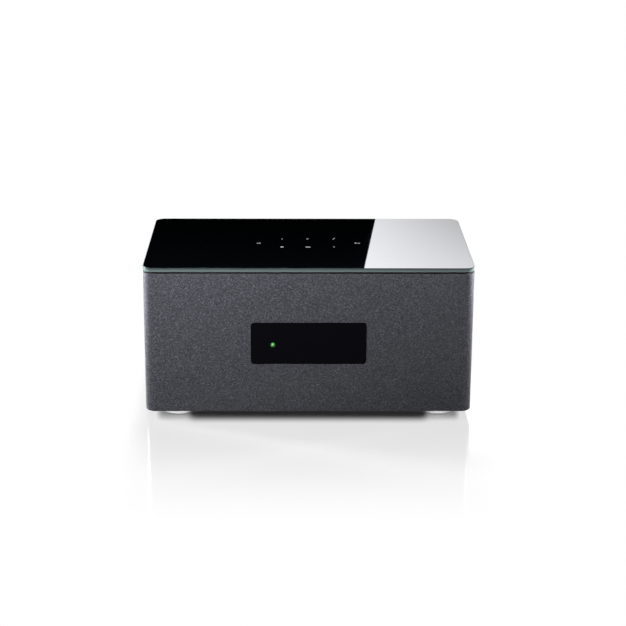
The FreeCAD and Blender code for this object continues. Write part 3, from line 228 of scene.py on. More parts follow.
window_face = Finish("window_face", Base_Color=(0.0014, 0.0014, 0.0028, 1), IOR=1.45,
                     Specular_IOR_Level=0.04)
window_face.feed("Roughness", window_face.noise(30, 3.0) * 0.05 + 0.03)
print("glass", lid_face.material.name, lid_edge.material.name)

# %% [markdown]
# The lamp is lit. Its lens is green, and its glow is painted from one spot a little left of
# its middle, as the photograph shows it, with a painted highlight at that spot. The
# distance from that spot, seen from the front, runs through a ramp from nearly white over
# green to dark green, which is painted shade towards the rim.

# %% The lens of the lamp
GLOW_AND_HIGHLIGHT_SPOT = (-32.9*MM, 0, 73.3*MM)
GLOW_AND_HIGHLIGHT_FALL = 300

lamp_lens = Finish("lamp_lens", IOR=1.5, Roughness=0.08, Emission_Strength=0.5)
flat = lamp_lens.node("ShaderNodeMapping", {}, {0: lamp_lens.place(), 3: (1, 0, 1)})
from_highlight_spot = lamp_lens.node(
    "ShaderNodeVectorMath", {"operation": "DISTANCE"}, {0: flat, 1: GLOW_AND_HIGHLIGHT_SPOT}, "Value")
# Painted highlight near white at the spot, painted shade in dark green at the rim.
glow_highlight_and_shade = from_highlight_spot * GLOW_AND_HIGHLIGHT_FALL + lamp_lens.noise(900, 1.0) * 0.1
lamp_lens.feed("Base Color", lamp_lens.ramp(glow_highlight_and_shade, (0.2, (0.03, 0.3, 0.04)), (0.8, (0.008, 0.07, 0.01))))
lamp_lens.feed("Emission Color", lamp_lens.ramp(
    glow_highlight_and_shade, (0.08, (0.9, 1.3, 0.8)), (0.3, (0.05, 0.25, 0.04)), (0.65, (0.01, 0.075, 0.008)),
    (1.0, (0.001, 0.012, 0.001))))
print("lens", lamp_lens.material.name)

# %% [markdown]
# Metals differ in colour and in how they were worked. One function mixes them all:
# fine scratches along one axis for drawn and turned metal, and a slow change of
# tone as on plated parts.

# %% Metals
def metal(name, color, roughness, scratches=(1, 1, 1)):
    made = Finish(name, Metallic=1.0)
    stretched = made.node("ShaderNodeMapping", {}, {0: made.place(), 3: scratches})
    lines = made.noise(1400, 3.0, 0.6, stretched)
    tone = made.noise(45)
    worn = tuple(0.8*channel for channel in color)
    made.feed("Base Color", made.ramp(tone, (0.35, worn), (0.65, color)))
    made.feed("Roughness", lines * 0.16 + (roughness - 0.08))
    made.bump(lines, 0.01*MM)
    return made.material


turned_aluminium = metal("turned_aluminium", (0.95, 0.95, 0.96), 0.16, (1, 1, 0.05))
zinc_steel = metal("zinc_steel", (0.30, 0.30, 0.32), 0.34)
nickel = metal("nickel", (0.62, 0.61, 0.59), 0.26, (0.1, 1, 1))
gold = metal("gold", (0.88, 0.62, 0.24), 0.2, (1, 0.2, 1))
anodised = metal("anodised", (0.10, 0.10, 0.11), 0.42, (1, 0.05, 1))
print("metals made")

# %% [markdown]
# Moulded parts carry the texture of their mould. A fine bump and a small change of
# roughness keep them from looking like wet paint. Circuit boards are lacquered, and
# a brick pattern stands for their tracks, because they are only seen through slots.

# %% Moulded plastics, rubber and boards
def moulding(name, color, roughness, grain=900, depth=0.04*MM, **plain):
    made = Finish(name, **plain)
    texture = made.noise(grain, 2.0, 0.6)
    clouds = made.noise(70, 2.0)
    darker = tuple(0.72*channel for channel in color)
    made.feed("Base Color", made.ramp(clouds * 0.5 + texture * 0.5, (0.38, darker), (0.62, color)))
    made.feed("Roughness", clouds * 0.14 + (roughness - 0.07))
    made.bump(texture, depth, 0.6)
    return made.material


black_plastic = moulding("black_plastic", (0.022, 0.022, 0.024), 0.42)
red_plastic = moulding("red_plastic", (0.42, 0.012, 0.014), 0.22, 1500, 0.01*MM)
glossy_black = moulding("glossy_black", (0.012, 0.012, 0.013), 0.2, 1500, 0.01*MM)
grey_plastic = moulding("grey_plastic", (0.11, 0.11, 0.115), 0.45)
white_plastic = moulding("white_plastic", (0.5, 0.5, 0.47), 0.4)
rubber = moulding("rubber", (0.016, 0.016, 0.016), 0.72, 600, 0.08*MM)
sensor_resin = moulding("sensor_resin", (0.02, 0.008, 0.012), 0.15, 1200, 0.01*MM)
ferrite = moulding("ferrite", (0.03, 0.03, 0.032), 0.6, 500, 0.06*MM)
sleeve_blue = moulding("sleeve_blue", (0.012, 0.02, 0.08), 0.3)
# The ink has a faint painted glow, so the signs stay light under any lamp.
ink_with_painted_glow = moulding("ink_with_painted_glow", (0.32, 0.33, 0.345), 0.4, Emission_Strength=0.03,
                      Emission_Color=(0.8, 0.85, 0.9, 1))

board_green = Finish("board_green")
tracks = board_green.node("ShaderNodeTexBrick", {}, {
    "Vector": board_green.place(), "Scale": 160.0, "Mortar Size": 0.03,
    "Color1": (0.012, 0.10, 0.045, 1), "Color2": (0.010, 0.085, 0.04, 1), "Mortar": (0.02, 0.16, 0.07, 1)})
board_green.feed("Base Color", tracks)
board_green.feed("Roughness", board_green.noise(400) * 0.1 + 0.3)
print("mouldings made")

# %% [markdown]
# The solid model already has the right shape for what stays hidden or half hidden,
# so these pieces only need their finish. It goes onto the material slots of the
# loaded objects. All other pieces get a finer shape further down.

# %% Give the loaded pieces their finish
FINISH_OF = {
    plate_coat: ["top_frame", "base_plate"],
    rubber: ["glass_gasket"],
    zinc_steel: ["foot_screws"],
    board_green.material: ["display_board", "touch_board", "terminal_board", "main_board",
                           "amplifier_board", "power_board"],
    window_face.material: ["display_module"],
    sensor_resin: ["infrared_receiver"],
    gold: ["terminal_nuts"],
    black_plastic: ["pairing_switch", "phono_block", "board_standoffs"],
    nickel: ["shield_can"],
    grey_plastic: ["display_ribbon", "touch_ribbon", "speaker_ribbon"],
    anodised: ["heat_sink"],
    ferrite: ["transformer"],
    sleeve_blue: ["reservoir_capacitors"],
}
for material, names in FINISH_OF.items():
    for name in names:
        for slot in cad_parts[name].material_slots:
            slot.material = material
print("finished", sum(len(names) for names in FINISH_OF.values()), "loaded pieces")

# %% [markdown]
# Finer pieces are plain meshes in the place where the solid model has the piece.
# These helpers make a mesh, turn its modifiers into real faces, smooth it, and hang
# it on its body. Weighted normals keep large faces flat where they meet small ones.

# %% From points to a finished piece
def new_piece(name, verts, faces, *materials):
    mesh = bpy.data.meshes.new(name)
    mesh.from_pydata([tuple(v) for v in verts], [], faces)
    for material in materials:
        mesh.materials.append(material)
    made = bpy.data.objects.new(name, mesh)
    bpy.context.scene.collection.objects.link(made)
    return made


def bake_modifiers(piece):
    """Turn a piece and its modifiers into a plain mesh."""
    graph = bpy.context.evaluated_depsgraph_get()
    mesh = bpy.data.meshes.new_from_object(piece.evaluated_get(graph))
    piece.modifiers.clear()
    piece.data = mesh
    return piece


def soften(piece, angle=35):
    """Smooth shading with creases past the angle, where large faces stay flat."""
    piece.data.shade_smooth()
    piece.data.set_sharp_from_angle(angle=math.radians(angle))
    weights = piece.modifiers.new("flat_faces", "WEIGHTED_NORMAL")
    weights.keep_sharp = True
    bake_modifiers(piece)


def settle(piece, slot, *nodes, body="chassis"):
    """Hang a finished piece on its body, in place of the loaded nodes."""
    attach(piece, body)
    if nodes:
        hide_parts(*nodes)
    print(piece.name, len(piece.data.polygons), "faces")


print("ready to make pieces")

# %% [markdown]
# Nearly all the shapes are rings of points, joined one after the other: outlines
# with round corners for the case, the lid and the window, and circles for what is
# turned on a lathe. A profile can also be closed in itself, as a tube is.

# %% Rings and what they join to
def rounded_outline(width, height, radius, steps):
    """Corner arcs and sides of a rectangle about the origin, anticlockwise."""
    points = []
    for side_x, side_y, start in ((1, 1, 0), (-1, 1, 90), (-1, -1, 180), (1, -1, 270)):
        for step in range(steps + 1):
            angle = math.radians(start + 90*step/steps)
            points.append((side_x*(width/2 - radius) + radius*math.cos(angle),
                           side_y*(height/2 - radius) + radius*math.sin(angle)))
    return points


def loft(name, rings, *materials, closed=False):
    """Join equal rings of points, and close both ends or else the loop."""
    if closed:
        rings = rings + rings[:1]
    count = len(rings[0])
    verts = [point for ring in rings for point in ring]
    faces = []
    for level in range(len(rings) - 1):
        for i in range(count):
            j = (i + 1) % count
            faces.append((level*count + i, level*count + j, (level + 1)*count + j, (level + 1)*count + i))
    if not closed:
        faces.append(tuple(reversed(range(count))))
        faces.append(tuple(range((len(rings) - 1)*count, len(rings)*count)))
    made = new_piece(name, verts, faces, *materials)
    work = bmesh.new()
    work.from_mesh(made.data)
    bmesh.ops.remove_doubles(work, verts=work.verts, dist=1e-7)
    bmesh.ops.recalc_face_normals(work, faces=work.faces)
    work.to_mesh(made.data)
    work.free()
    return made


def turned(name, profile, center, axis, segments, *materials, closed=False):
    """Turn a profile of (radius, level) pairs about an axis along Y or Z."""
    rings = []
    for radius, level in profile:
        ring = []
        for i in range(segments):
            angle = 2*math.pi*i/segments
            a = center[0] + radius*math.cos(angle)
            b = center[1] + radius*math.sin(angle)
            ring.append((a, b, level) if axis == "Z" else (a, level, b))
        rings.append(ring)
    return loft(name, rings, *materials, closed=closed)


print("shapes ready")

# %% [markdown]
# Holes are cut with Boolean modifiers, as a drill or a press cuts them. No edge on a
# real part is quite sharp, so a small bevel catches the light along each edge.

# %% Holes and broken edges
def cut(piece, *tools):
    """Cut the shapes of the tools out of a piece, and put the tools away."""
    for tool in tools:
        hole = piece.modifiers.new(tool.name, "BOOLEAN")
        hole.operation = "DIFFERENCE"
        hole.solver = "EXACT"
        hole.object = tool
    bake_modifiers(piece)
    for tool in tools:
        bpy.data.objects.remove(tool)


def break_edges(piece, width, angle):
    """Bevel the edges that are sharper than the angle."""
    edge = piece.modifiers.new("edge", "BEVEL")
    edge.width = width
    edge.segments = 2
    edge.limit_method = "ANGLE"
    edge.angle_limit = math.radians(angle)
    bake_modifiers(piece)


print("tools ready")

# %% [markdown]
# The case is one bent and welded sleeve. Its rounded corners catch a narrow band of
# light, so they need many more facets than the solid model has. Four rings step
# round the lower edge, which is rounded too and shades off into the dark below.

# %% The case sleeve
SLEEVE_LOW, SLEEVE_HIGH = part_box("housing_sleeve")
CASE_SIZE = SLEEVE_HIGH - SLEEVE_LOW
CASE_MIDDLE = (SLEEVE_LOW + SLEEVE_HIGH)/2
CORNER = 9.5*MM
CORNER_STEPS = 24
LOWER_EDGE = 1.2*MM
QUARTER_ROUND = ((1, 0), (0.5, 0.134), (0.134, 0.5), (0, 1))


def case_ring(size, inset, level):
    """The outline of the case or the lid, drawn in by an inset."""
    outline = rounded_outline(size.x - 2*inset, size.y - 2*inset, CORNER - inset, CORNER_STEPS)
    return [(CASE_MIDDLE.x + x, CASE_MIDDLE.y + y, level) for x, y in outline]


rings = [case_ring(CASE_SIZE, inset*LOWER_EDGE, SLEEVE_LOW.z + level*LOWER_EDGE)
         for inset, level in QUARTER_ROUND]
rings.append(case_ring(CASE_SIZE, 0, SLEEVE_HIGH.z))
sleeve = loft("case_sleeve", rings, case_coat)
print("sleeve", [round(side/MM, 1) for side in CASE_SIZE], "mm")

# %% [markdown]
# The sleeve is hollow, with a window in front and an opening for the rear panel. Its
# top rim lies in the gap under the glass and gets the darker coat, as painted shade
# for the gap.

# %% Openings in the sleeve
WALL = 2.5*MM
WINDOW_LOW, WINDOW_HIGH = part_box("display_window")
WINDOW_SIZE = (105*MM, 39.4*MM)
WINDOW_CORNER = 3*MM
WINDOW_FIT = 0.15*MM
REAR_SIZE = (272*MM, 118*MM)
REAR_CORNER = 4*MM
OPENING_HEIGHT = (WINDOW_LOW.z + WINDOW_HIGH.z)/2
RIM_DEPTH = 0.05*MM


def front_ring(width, height, radius, level, steps=10):
    """A rounded outline in an upright plane, about the middle of the window."""
    outline = rounded_outline(width, height, radius, steps)
    return [(CASE_MIDDLE.x + x, level, OPENING_HEIGHT + z) for x, z in outline]


inside = loft("inside", [case_ring(CASE_SIZE, WALL, level)
                         for level in (SLEEVE_LOW.z - WALL, SLEEVE_HIGH.z + WALL)])
window_hole = loft("window_hole", [
    front_ring(WINDOW_SIZE[0] + 2*WINDOW_FIT, WINDOW_SIZE[1] + 2*WINDOW_FIT,
               WINDOW_CORNER + WINDOW_FIT, level)
    for level in (SLEEVE_LOW.y - WALL, SLEEVE_LOW.y + 2*WALL)])
rear_hole = loft("rear_hole", [front_ring(*REAR_SIZE, REAR_CORNER, level, 8)
                               for level in (SLEEVE_HIGH.y - 2*WALL, SLEEVE_HIGH.y + WALL)])
cut(sleeve, inside, window_hole, rear_hole)
break_edges(sleeve, 0.35*MM, 40)
sleeve.data.materials.append(plate_coat)
# The top rim takes the darker coat: painted shade in the gap under the lid.
for polygon in sleeve.data.polygons:
    if polygon.center.z > SLEEVE_HIGH.z - RIM_DEPTH and polygon.normal.z > 0.95:
        polygon.material_index = 1
soften(sleeve)
settle(sleeve, "anthracite_coat", "housing_sleeve")

# %% [markdown]
# The lid is a slab with a broken corner, the arris, all round. Rings of the same
# outline, each a little smaller, step over it. The flat faces get the black mirror,
# the upright edge gets the green, and the arris between them stays a dark line.

# %% The glass lid
LID_DROP = 0.03*MM
ARRIS = 0.45*MM
UPRIGHT = 0.1
LEVEL = 0.99
lid_top = GLASS_HIGH.z - LID_DROP
rings = [case_ring(GLASS_HIGH - GLASS_LOW, inset*ARRIS, GLASS_LOW.z + level*ARRIS)
         for inset, level in ((1, 0), (0.15, 0.5), (0, 1))]
rings += [case_ring(GLASS_HIGH - GLASS_LOW, inset*ARRIS, lid_top - level*ARRIS)
          for inset, level in ((0, 1), (0.15, 0.5), (0.5, 0.15), (1, 0))]
lid = loft("glass_lid", rings, lid_face.material, lid_edge.material, lid_arris.material)
# Under the lid the dark arris also serves as painted shade, deepening the gap over the case.
for polygon in lid.data.polygons:
    tilt = abs(polygon.normal.z)
    polygon.material_index = 1 if tilt < UPRIGHT else 2 if tilt < LEVEL else 0
soften(lid, 50)
settle(lid, "black_glass", "top_glass")

# %% [markdown]
# The window is a smoked acrylic block that sits a hair behind the face of the
# case, with a flange inside. The lamp comes through it in a drilled hole. It is a
# 5 mm lamp, so its nose is a half sphere.

# %% The window and the lamp
EASE = 0.25*MM
FLANGE_FRONT = SLEEVE_LOW.y + WALL
LAMP_LOW, LAMP_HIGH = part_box("status_led")
LAMP_RADIUS = 2.5*MM
LAMP_HOLE = 2.7*MM
LAMP_COLLAR = 2.9*MM
COLLAR_DEPTH = 1.0*MM
NOSE_TIP = 0.05*MM
lamp_axis = ((LAMP_LOW.x + LAMP_HIGH.x)/2, (LAMP_LOW.z + LAMP_HIGH.z)/2)

rings = [front_ring(WINDOW_SIZE[0] - 2*EASE, WINDOW_SIZE[1] - 2*EASE, WINDOW_CORNER - EASE, WINDOW_LOW.y),
         front_ring(*WINDOW_SIZE, WINDOW_CORNER, WINDOW_LOW.y + EASE),
         front_ring(*WINDOW_SIZE, WINDOW_CORNER, FLANGE_FRONT)]
rings += [front_ring(WINDOW_HIGH.x - WINDOW_LOW.x, WINDOW_HIGH.z - WINDOW_LOW.z, WINDOW_CORNER, level)
          for level in (FLANGE_FRONT, WINDOW_HIGH.y)]
window = loft("display_cover", rings, window_face.material)
cut(window, turned("drill", [(LAMP_HOLE, WINDOW_LOW.y - WALL), (LAMP_HOLE, WINDOW_HIGH.y + WALL)],
                   lamp_axis, "Y", 48))
soften(window)
settle(window, "smoked_window", "display_window")

nose = [(LAMP_RADIUS*math.cos(math.radians(angle)),
         LAMP_LOW.y + LAMP_RADIUS*(1 - math.sin(math.radians(angle)))) for angle in range(0, 90, 10)]
lamp = turned("status_lamp", [(LAMP_COLLAR, LAMP_HIGH.y), (LAMP_COLLAR, LAMP_HIGH.y - COLLAR_DEPTH),
                              (LAMP_RADIUS, LAMP_HIGH.y - COLLAR_DEPTH), *nose, (NOSE_TIP, LAMP_LOW.y)],
              lamp_axis, "Y", 40, lamp_lens.material)
soften(lamp, 50)
settle(lamp, "green_lens", "status_led")

# %% [markdown]
# The feet are turned from aluminium. Each narrows a little on its way up to the
# case, and below it ends in a rim that hangs round its rubber pad, so that only the
# last bit of the pad shows. A profile for one foot is turned four times.

# %% Feet and pads
FOOT_NODES = ["foot_front_left", "foot_front_right", "foot_rear_left", "foot_rear_right"]
PAD_LOW, PAD_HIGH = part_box("foot_pads")
PAD_RADIUS = 13*MM
PAD_GAP = 0.1*MM
PAD_ROUND = 0.4*MM
RIM = 0.55*MM
RIM_ROUND = 0.2*MM
STRAIGHT = 0.3*MM
TAPER = 0.4*MM
TAPER_START = 0.35*MM
TOP_CHAMFER = 0.5*MM
pads = []
for name in FOOT_NODES:
    low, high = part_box(name)
    center = ((low.x + high.x)/2, (low.y + high.y)/2)
    radius = (high.x - low.x)/2
    profile = [(PAD_RADIUS + PAD_GAP, low.z), (PAD_RADIUS + PAD_GAP, low.z - RIM),
               (radius - RIM_ROUND, low.z - RIM), (radius, low.z - RIM + RIM_ROUND),
               (radius, low.z + STRAIGHT)]
    profile += [(radius - TAPER*share, low.z + TAPER_START + share*(high.z - low.z - 2*TAPER_START))
                for share in (0.25, 0.5, 0.75, 1)]
    profile.append((radius - TAPER - TOP_CHAMFER, high.z))
    foot = turned(name.replace("foot", "turned_foot"), profile, center, "Z", 96, turned_aluminium)
    soften(foot, 40)
    settle(foot, "foot_metal", name)
    pad = turned(f"{name}_pad", [(PAD_RADIUS - PAD_ROUND, PAD_LOW.z), (PAD_RADIUS, PAD_LOW.z + PAD_ROUND),
                                 (PAD_RADIUS, PAD_HIGH.z)], center, "Z", 64, rubber)
    soften(pad)
    pads.append(pad)
for pad in pads[1:]:
    settle(pad, "rubber")
settle(pads[0], "rubber", "foot_pads")

# %% [markdown]
# Screws and contacts repeat, so Geometry Nodes set them out. Each point carries a
# turn and a size. A tree puts a copy of one shape on every point, makes the copies
# real and gives them their finish. Only the shape differs from tree to tree, so one
# function builds the rest, fills the named inputs and keeps the plain mesh.

# %% A tree that sets out copies
def set_out(name, places, shape, material, sizes):
    """Put a shape on every (place, turn, size), and make one plain mesh of them."""
    points = new_piece(name, [place for place, _, _ in places], [])
    for index, carried in ((1, "turn"), (2, "size")):
        values = [value for point in places for value in point[index]]
        points.data.attributes.new(carried, "FLOAT_VECTOR", "POINT").data.foreach_set("vector", values)
    group = bpy.data.node_groups.new(f"set_out_{name}", "GeometryNodeTree")
    group.interface.new_socket("Points", in_out="INPUT", socket_type="NodeSocketGeometry")
    group.interface.new_socket("Copies", in_out="OUTPUT", socket_type="NodeSocketGeometry")
    inputs = {size: group.interface.new_socket(size, in_out="INPUT", socket_type="NodeSocketFloat").identifier
              for size in sizes}
    tree = Nodes(group)
    turn, size = (tree.node("GeometryNodeInputNamedAttribute", {"data_type": "FLOAT_VECTOR"},
                            {"Name": carried}) for carried in ("turn", "size"))
    copies = tree.node("GeometryNodeInstanceOnPoints", {}, {
        "Points": tree.node("NodeGroupInput", output="Points"), "Rotation": turn, "Scale": size,
        "Instance": shape(tree, *[tree.node("NodeGroupInput", output=size) for size in sizes])})
    real = tree.node("GeometryNodeRealizeInstances", {}, {"Geometry": copies})
    painted = tree.node("GeometryNodeSetMaterial", {}, {"Geometry": real, "Material": material})
    group.links.new(painted.socket, group.nodes.new("NodeGroupOutput").inputs["Copies"])
    modifier = points.modifiers.new("copies", "NODES")
    modifier.node_group = group
    for size, identifier in inputs.items():
        modifier[identifier] = sizes[size]
    return bake_modifiers(points)


print("trees ready")

# %% [markdown]
# Ten cross-head screws hold the case: four on the frame under the lid, four in the
# base and two beside the mains inlet. A head is a low cone with a flat top, and a
# Boolean node cuts the two bars of the cross out of it. No fitter lines them up, so
# each is turned by an angle of its own.

# %% Screws
HEAD_RADIUS = 2.9*MM
HEAD_HEIGHT = 1.6*MM
TOP_SHARE = 0.78
CROSS_LENGTH = 1.25
CROSS_WIDTH = 0.3


def cross_head(tree, radius, height):
    head = tree.node("GeometryNodeMeshCone", {}, {
        "Vertices": 40, "Radius Bottom": radius, "Radius Top": radius*TOP_SHARE, "Depth": height})
    lift = tree.node("ShaderNodeCombineXYZ", {}, {"Z": height})
    bars = []
    for width, depth in ((CROSS_LENGTH, CROSS_WIDTH), (CROSS_WIDTH, CROSS_LENGTH)):
        size = tree.node("ShaderNodeCombineXYZ", {}, {"X": radius*width, "Y": radius*depth, "Z": height})
        block = tree.node("GeometryNodeMeshCube", {}, {"Size": size})
        bars.append(tree.node("GeometryNodeTransform", {}, {"Geometry": block, "Translation": lift}))
    return tree.node("GeometryNodeMeshBoolean", {"operation": "DIFFERENCE", "solver": "EXACT"},
                     {"Mesh 1": head, "Mesh 2": bars})


SCREW_ROWS = (-83.6*MM, 65.4*MM)
INLET_SCREWS = 20*MM
INLET_LOW, INLET_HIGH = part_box("mains_inlet")
inlet_middle = (INLET_LOW + INLET_HIGH)/2
screw_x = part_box("case_screws")[1].x - HEAD_RADIUS
same_size = (1, 1, 1)
places = []
for x in (-screw_x, screw_x):
    for y in SCREW_ROWS:
        places.append(((x, y, SLEEVE_LOW.z), (math.pi, 0, 0.4 + 9*x), same_size))
        places.append(((x, y, SLEEVE_HIGH.z - HEAD_HEIGHT), (0, 0, 0.7 + 9*y), same_size))
for x in (-INLET_SCREWS, INLET_SCREWS):
    spot = (inlet_middle.x + x, INLET_HIGH.y, inlet_middle.z)
    places.append((spot, (-math.pi/2, 0, 0.3 + 30*x), same_size))
screws = set_out("cross_head_screws", places, cross_head, zinc_steel,
                 {"Head Radius": HEAD_RADIUS, "Head Height": HEAD_HEIGHT})
soften(screws)
settle(screws, "screw_steel", "case_screws")

# %% [markdown]
# The eight touch keys are only signs printed on the glass. They are thin plates of
# ink, with shapes that anyone knows: a power ring, arrows, a note, bars and a
# speaker. Each shape is drawn in millimetres about the middle of its key.

# %% Shapes of the signs
def ring_sector(radius, width, start, end, steps=20):
    angles = [math.radians(start + (end - start)*i/steps) for i in range(steps + 1)]
    outer = [(radius*math.cos(a), radius*math.sin(a)) for a in angles]
    inner = [((radius - width)*math.cos(a), (radius - width)*math.sin(a)) for a in reversed(angles)]
    return outer + inner


def bar(x, y, width, height):
    return [(x - width/2, y - height/2), (x + width/2, y - height/2),
            (x + width/2, y + height/2), (x - width/2, y + height/2)]


POWER = [ring_sector(2.7, 0.5, 125, 415), bar(0, 2.1, 0.5, 2.6)]
UP = [[(-1.2, -1.0), (1.2, -1.0), (0, 1.1)]]
DOWN = [[(-1.2, 1.0), (0, -1.1), (1.2, 1.0)]]
PLAY = [[(-1.2, -1.4), (1.5, 0), (-1.2, 1.4)]]
NOTE = [ring_sector(0.9, 0.88, 0, 360), bar(0.7, 1.2, 0.4, 2.6),
        [(0.5, 2.5), (1.7, 1.9), (1.7, 1.2), (0.5, 1.8)]]
BARS = [bar(0, y, 3.8, 0.42) for y in (-1.2, 0, 1.2)]
FORWARD = [[(-2.9, -1.5), (-0.4, 0), (-2.9, 1.5)], [(-0.4, -1.5), (2.1, 0), (-0.4, 1.5)],
           bar(2.6, 0, 0.8, 3)]
SPEAKER = [[(-3.2, -0.8), (-2.2, -0.8), (-0.8, -1.9), (-0.8, 1.9), (-2.2, 0.8), (-3.2, 0.8)],
           ring_sector(1.5, 0.45, -45, 45), ring_sector(2.6, 0.45, -45, 45), ring_sector(3.6, 0.45, -40, 40)]
print("signs drawn")

# %% [markdown]
# The places of the signs on the lid were measured in the photograph. A sign is laid
# out with a direction for its right and one for up, so the same function can print
# on the lid, on the rear panel and on the tilted rocker.

# %% Touch signs on the lid
INK = 0.02*MM
KEY_SCALE = 0.74
KEYS = ((POWER, -46.6, -3.5), (UP, -24.6, 11.9), (PLAY, -0.2, 11.6), (NOTE, 24.4, 12.1),
        (BARS, -24.7, -17.1), (FORWARD, -0.3, -17.7), (DOWN, 24.1, -17.6), (SPEAKER, 46.3, -3.5))


def print_signs(name, signs, slot, body="chassis"):
    """Thin plates of ink, each at its own place with its own directions right and up."""
    verts, faces = [], []
    for shapes, place, right, up in signs:
        out = right.cross(up).normalized()
        for shape in shapes:
            first, count = len(verts), len(shape)
            for level in (0, INK):
                verts += [place + right*(a*MM) + up*(b*MM) + out*level for a, b in shape]
            faces.append(tuple(range(first + count, first + 2*count)))
            faces += [(first + i, first + (i + 1) % count, first + count + (i + 1) % count, first + count + i)
                      for i in range(count)]
    settle(new_piece(name, verts, faces, ink_with_painted_glow), slot, body=body)


print_signs("touch_signs", [
    (shapes, Vector((CASE_MIDDLE.x + x*MM, CASE_MIDDLE.y + y*MM, lid_top)),
     Vector((KEY_SCALE, 0, 0)), Vector((0, KEY_SCALE, 0)))
    for shapes, x, y in KEYS], "black_glass")

# %% [markdown]
# The terminal caps are red above and black below, as on any amplifier, with flutes
# to grip. Each is a tube, so that the bore for a plug can be seen in the gold post
# inside. A wave on the radius makes the flutes, and they end before the round rim.

# %% Terminal caps
CAP_FLUTES = 24
FLUTE_STEPS = 6
FLUTE = 0.55
CAP_BORE = 3.1*MM
NEAR_END = ((0, 0.6, 0), (0.5, 0, 0), (1.6, 0, 0), (2.2, 0, FLUTE))
FAR_END = ((3.0, 0, FLUTE), (2.2, 0.1, 0), (0.9, 0.3, 0), (0.25, 0.8, 0), (0, 1.5, 0))
CAP_CENTERS = []


def ring_at(center, level, radius, depth=0):
    """A ring about Y, with flutes of a depth."""
    ring = []
    for i in range(CAP_FLUTES*FLUTE_STEPS):
        angle = 2*math.pi*i/(CAP_FLUTES*FLUTE_STEPS)
        reach = radius - depth*(0.5 - 0.5*math.cos(CAP_FLUTES*angle))
        ring.append((center[0] + reach*math.cos(angle), level, center[1] + reach*math.sin(angle)))
    return ring


for number in range(1, 7):
    name = f"terminal_cap_{number}"
    low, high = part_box(name)
    center = ((low.x + high.x)/2, (low.z + high.z)/2)
    radius = (high.x - low.x)/2
    rings = [ring_at(center, end + way*along*MM, radius - inset*MM, flute*MM)
             for end, way, profile in ((low.y, 1, NEAR_END), (high.y, -1, FAR_END))
             for along, inset, flute in profile]
    rings += [ring_at(center, level, bore) for level, bore in (
        (high.y, CAP_BORE + 0.4*MM), (high.y - 0.4*MM, CAP_BORE), (low.y, CAP_BORE))]
    cap = loft(f"speaker_cap_{number}", rings, red_plastic if number < 4 else glossy_black, closed=True)
    soften(cap, 40)
    settle(cap, "red_cap" if number < 4 else "black_cap", name, body=f"cap_{number}")
    CAP_CENTERS.append(center)

# %% [markdown]
# The parts of the rear panel are moulded, pressed or milled, so no edge on them is
# sharp. A copy of the loaded piece is merged, its edges get a small bevel, and it
# takes the place of the loaded one. The bevel only takes away, so the fits stay.

# %% Rear parts with broken edges
def refined(node, slot, finish, width, angle=35, body="chassis", second=None, belongs=None):
    """A copy of a loaded piece with a bevel. The second finish goes where belongs(centre, normal)."""
    work = bmesh.new()
    work.from_mesh(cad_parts[node].data)
    bmesh.ops.remove_doubles(work, verts=work.verts, dist=1e-6)
    bmesh.ops.dissolve_limit(work, angle_limit=math.radians(0.5), verts=work.verts, edges=work.edges)
    for face in work.faces:
        face.material_index = 0
    piece = new_piece(f"fine_{node}", [], [], finish)
    work.to_mesh(piece.data)
    work.free()
    break_edges(piece, width*MM, angle)
    if second:
        piece.data.materials.append(second)
        for polygon in piece.data.polygons:
            polygon.material_index = int(belongs(polygon.center, polygon.normal))
    soften(piece, angle)
    settle(piece, slot, node, body=body)


refined("rear_panel", "black_coat", plate_coat, 0.2)
refined("terminal_posts", "gold_plate", gold, 0.2)
refined("inlet_pins", "socket_steel", nickel, 0.5)
for name, width in (("terminal_block", 0.7), ("mains_inlet", 0.5), ("switch_frame", 0.5),
                    ("optical_socket", 0.3)):
    refined(name, "black_moulding", black_plastic, width)
refined("switch_rocker", "black_moulding", glossy_black, 0.3, 24, "rocker")
refined("optical_shutter", "black_moulding", glossy_black, 0.1, body="shutter")
refined("pairing_button", "black_moulding", grey_plastic, 0.25, body="button")
for number in range(1, 7):
    refined(f"terminal_washer_{number}", "gold_plate", gold, 0.15, body=f"washer_{number}")

# %% [markdown]
# The network jack and the HDMI sockets are pressed steel shells with black plastic
# inside. The solid model has each as one piece, so a face gets the plastic if it
# lies in the mouth of the jack, or on the tongue or the floor of an HDMI socket.

# %% Sockets with a plastic inside
JACK_X, JACK_Z = -34*MM, 107*MM
JACK_HALF_WIDTH, JACK_HALF_HEIGHT = 6.0*MM, 5.3*MM
JACK_FLOOR = 79.4*MM
TONGUE_HALF = 5.8*MM
TONGUE_LIFT = 0.5*MM
TONGUE_THICK = 1.6*MM
TONGUE_SET_BACK = 1.2*MM
HDMI_DEPTH = 14.25*MM
HDMI_CENTERS = []

refined("network_socket", "socket_steel", nickel, 0.3, second=black_plastic,
        belongs=lambda spot, normal: abs(spot.x - JACK_X) < JACK_HALF_WIDTH and spot.y < JACK_FLOOR
        and abs(spot.z - JACK_Z) < JACK_HALF_HEIGHT)
for number in range(1, 4):
    low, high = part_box(f"hdmi_socket_{number}")
    center, mouth = (low + high)/2, high.y
    HDMI_CENTERS.append((center, mouth))
    refined(f"hdmi_socket_{number}", "socket_steel", nickel, 0.12, second=black_plastic,
            belongs=lambda spot, normal: abs(spot.x - center.x) < TONGUE_HALF
            and (abs(spot.z - center.z - TONGUE_LIFT) < 0.6*TONGUE_THICK or normal.y > 0.9)
            and mouth - HDMI_DEPTH < spot.y < mouth - TONGUE_SET_BACK)

# %% [markdown]
# The phono sockets are turned and gold plated, with a rolled lip, and a ring of
# plastic in each shows its channel: white above and red below.

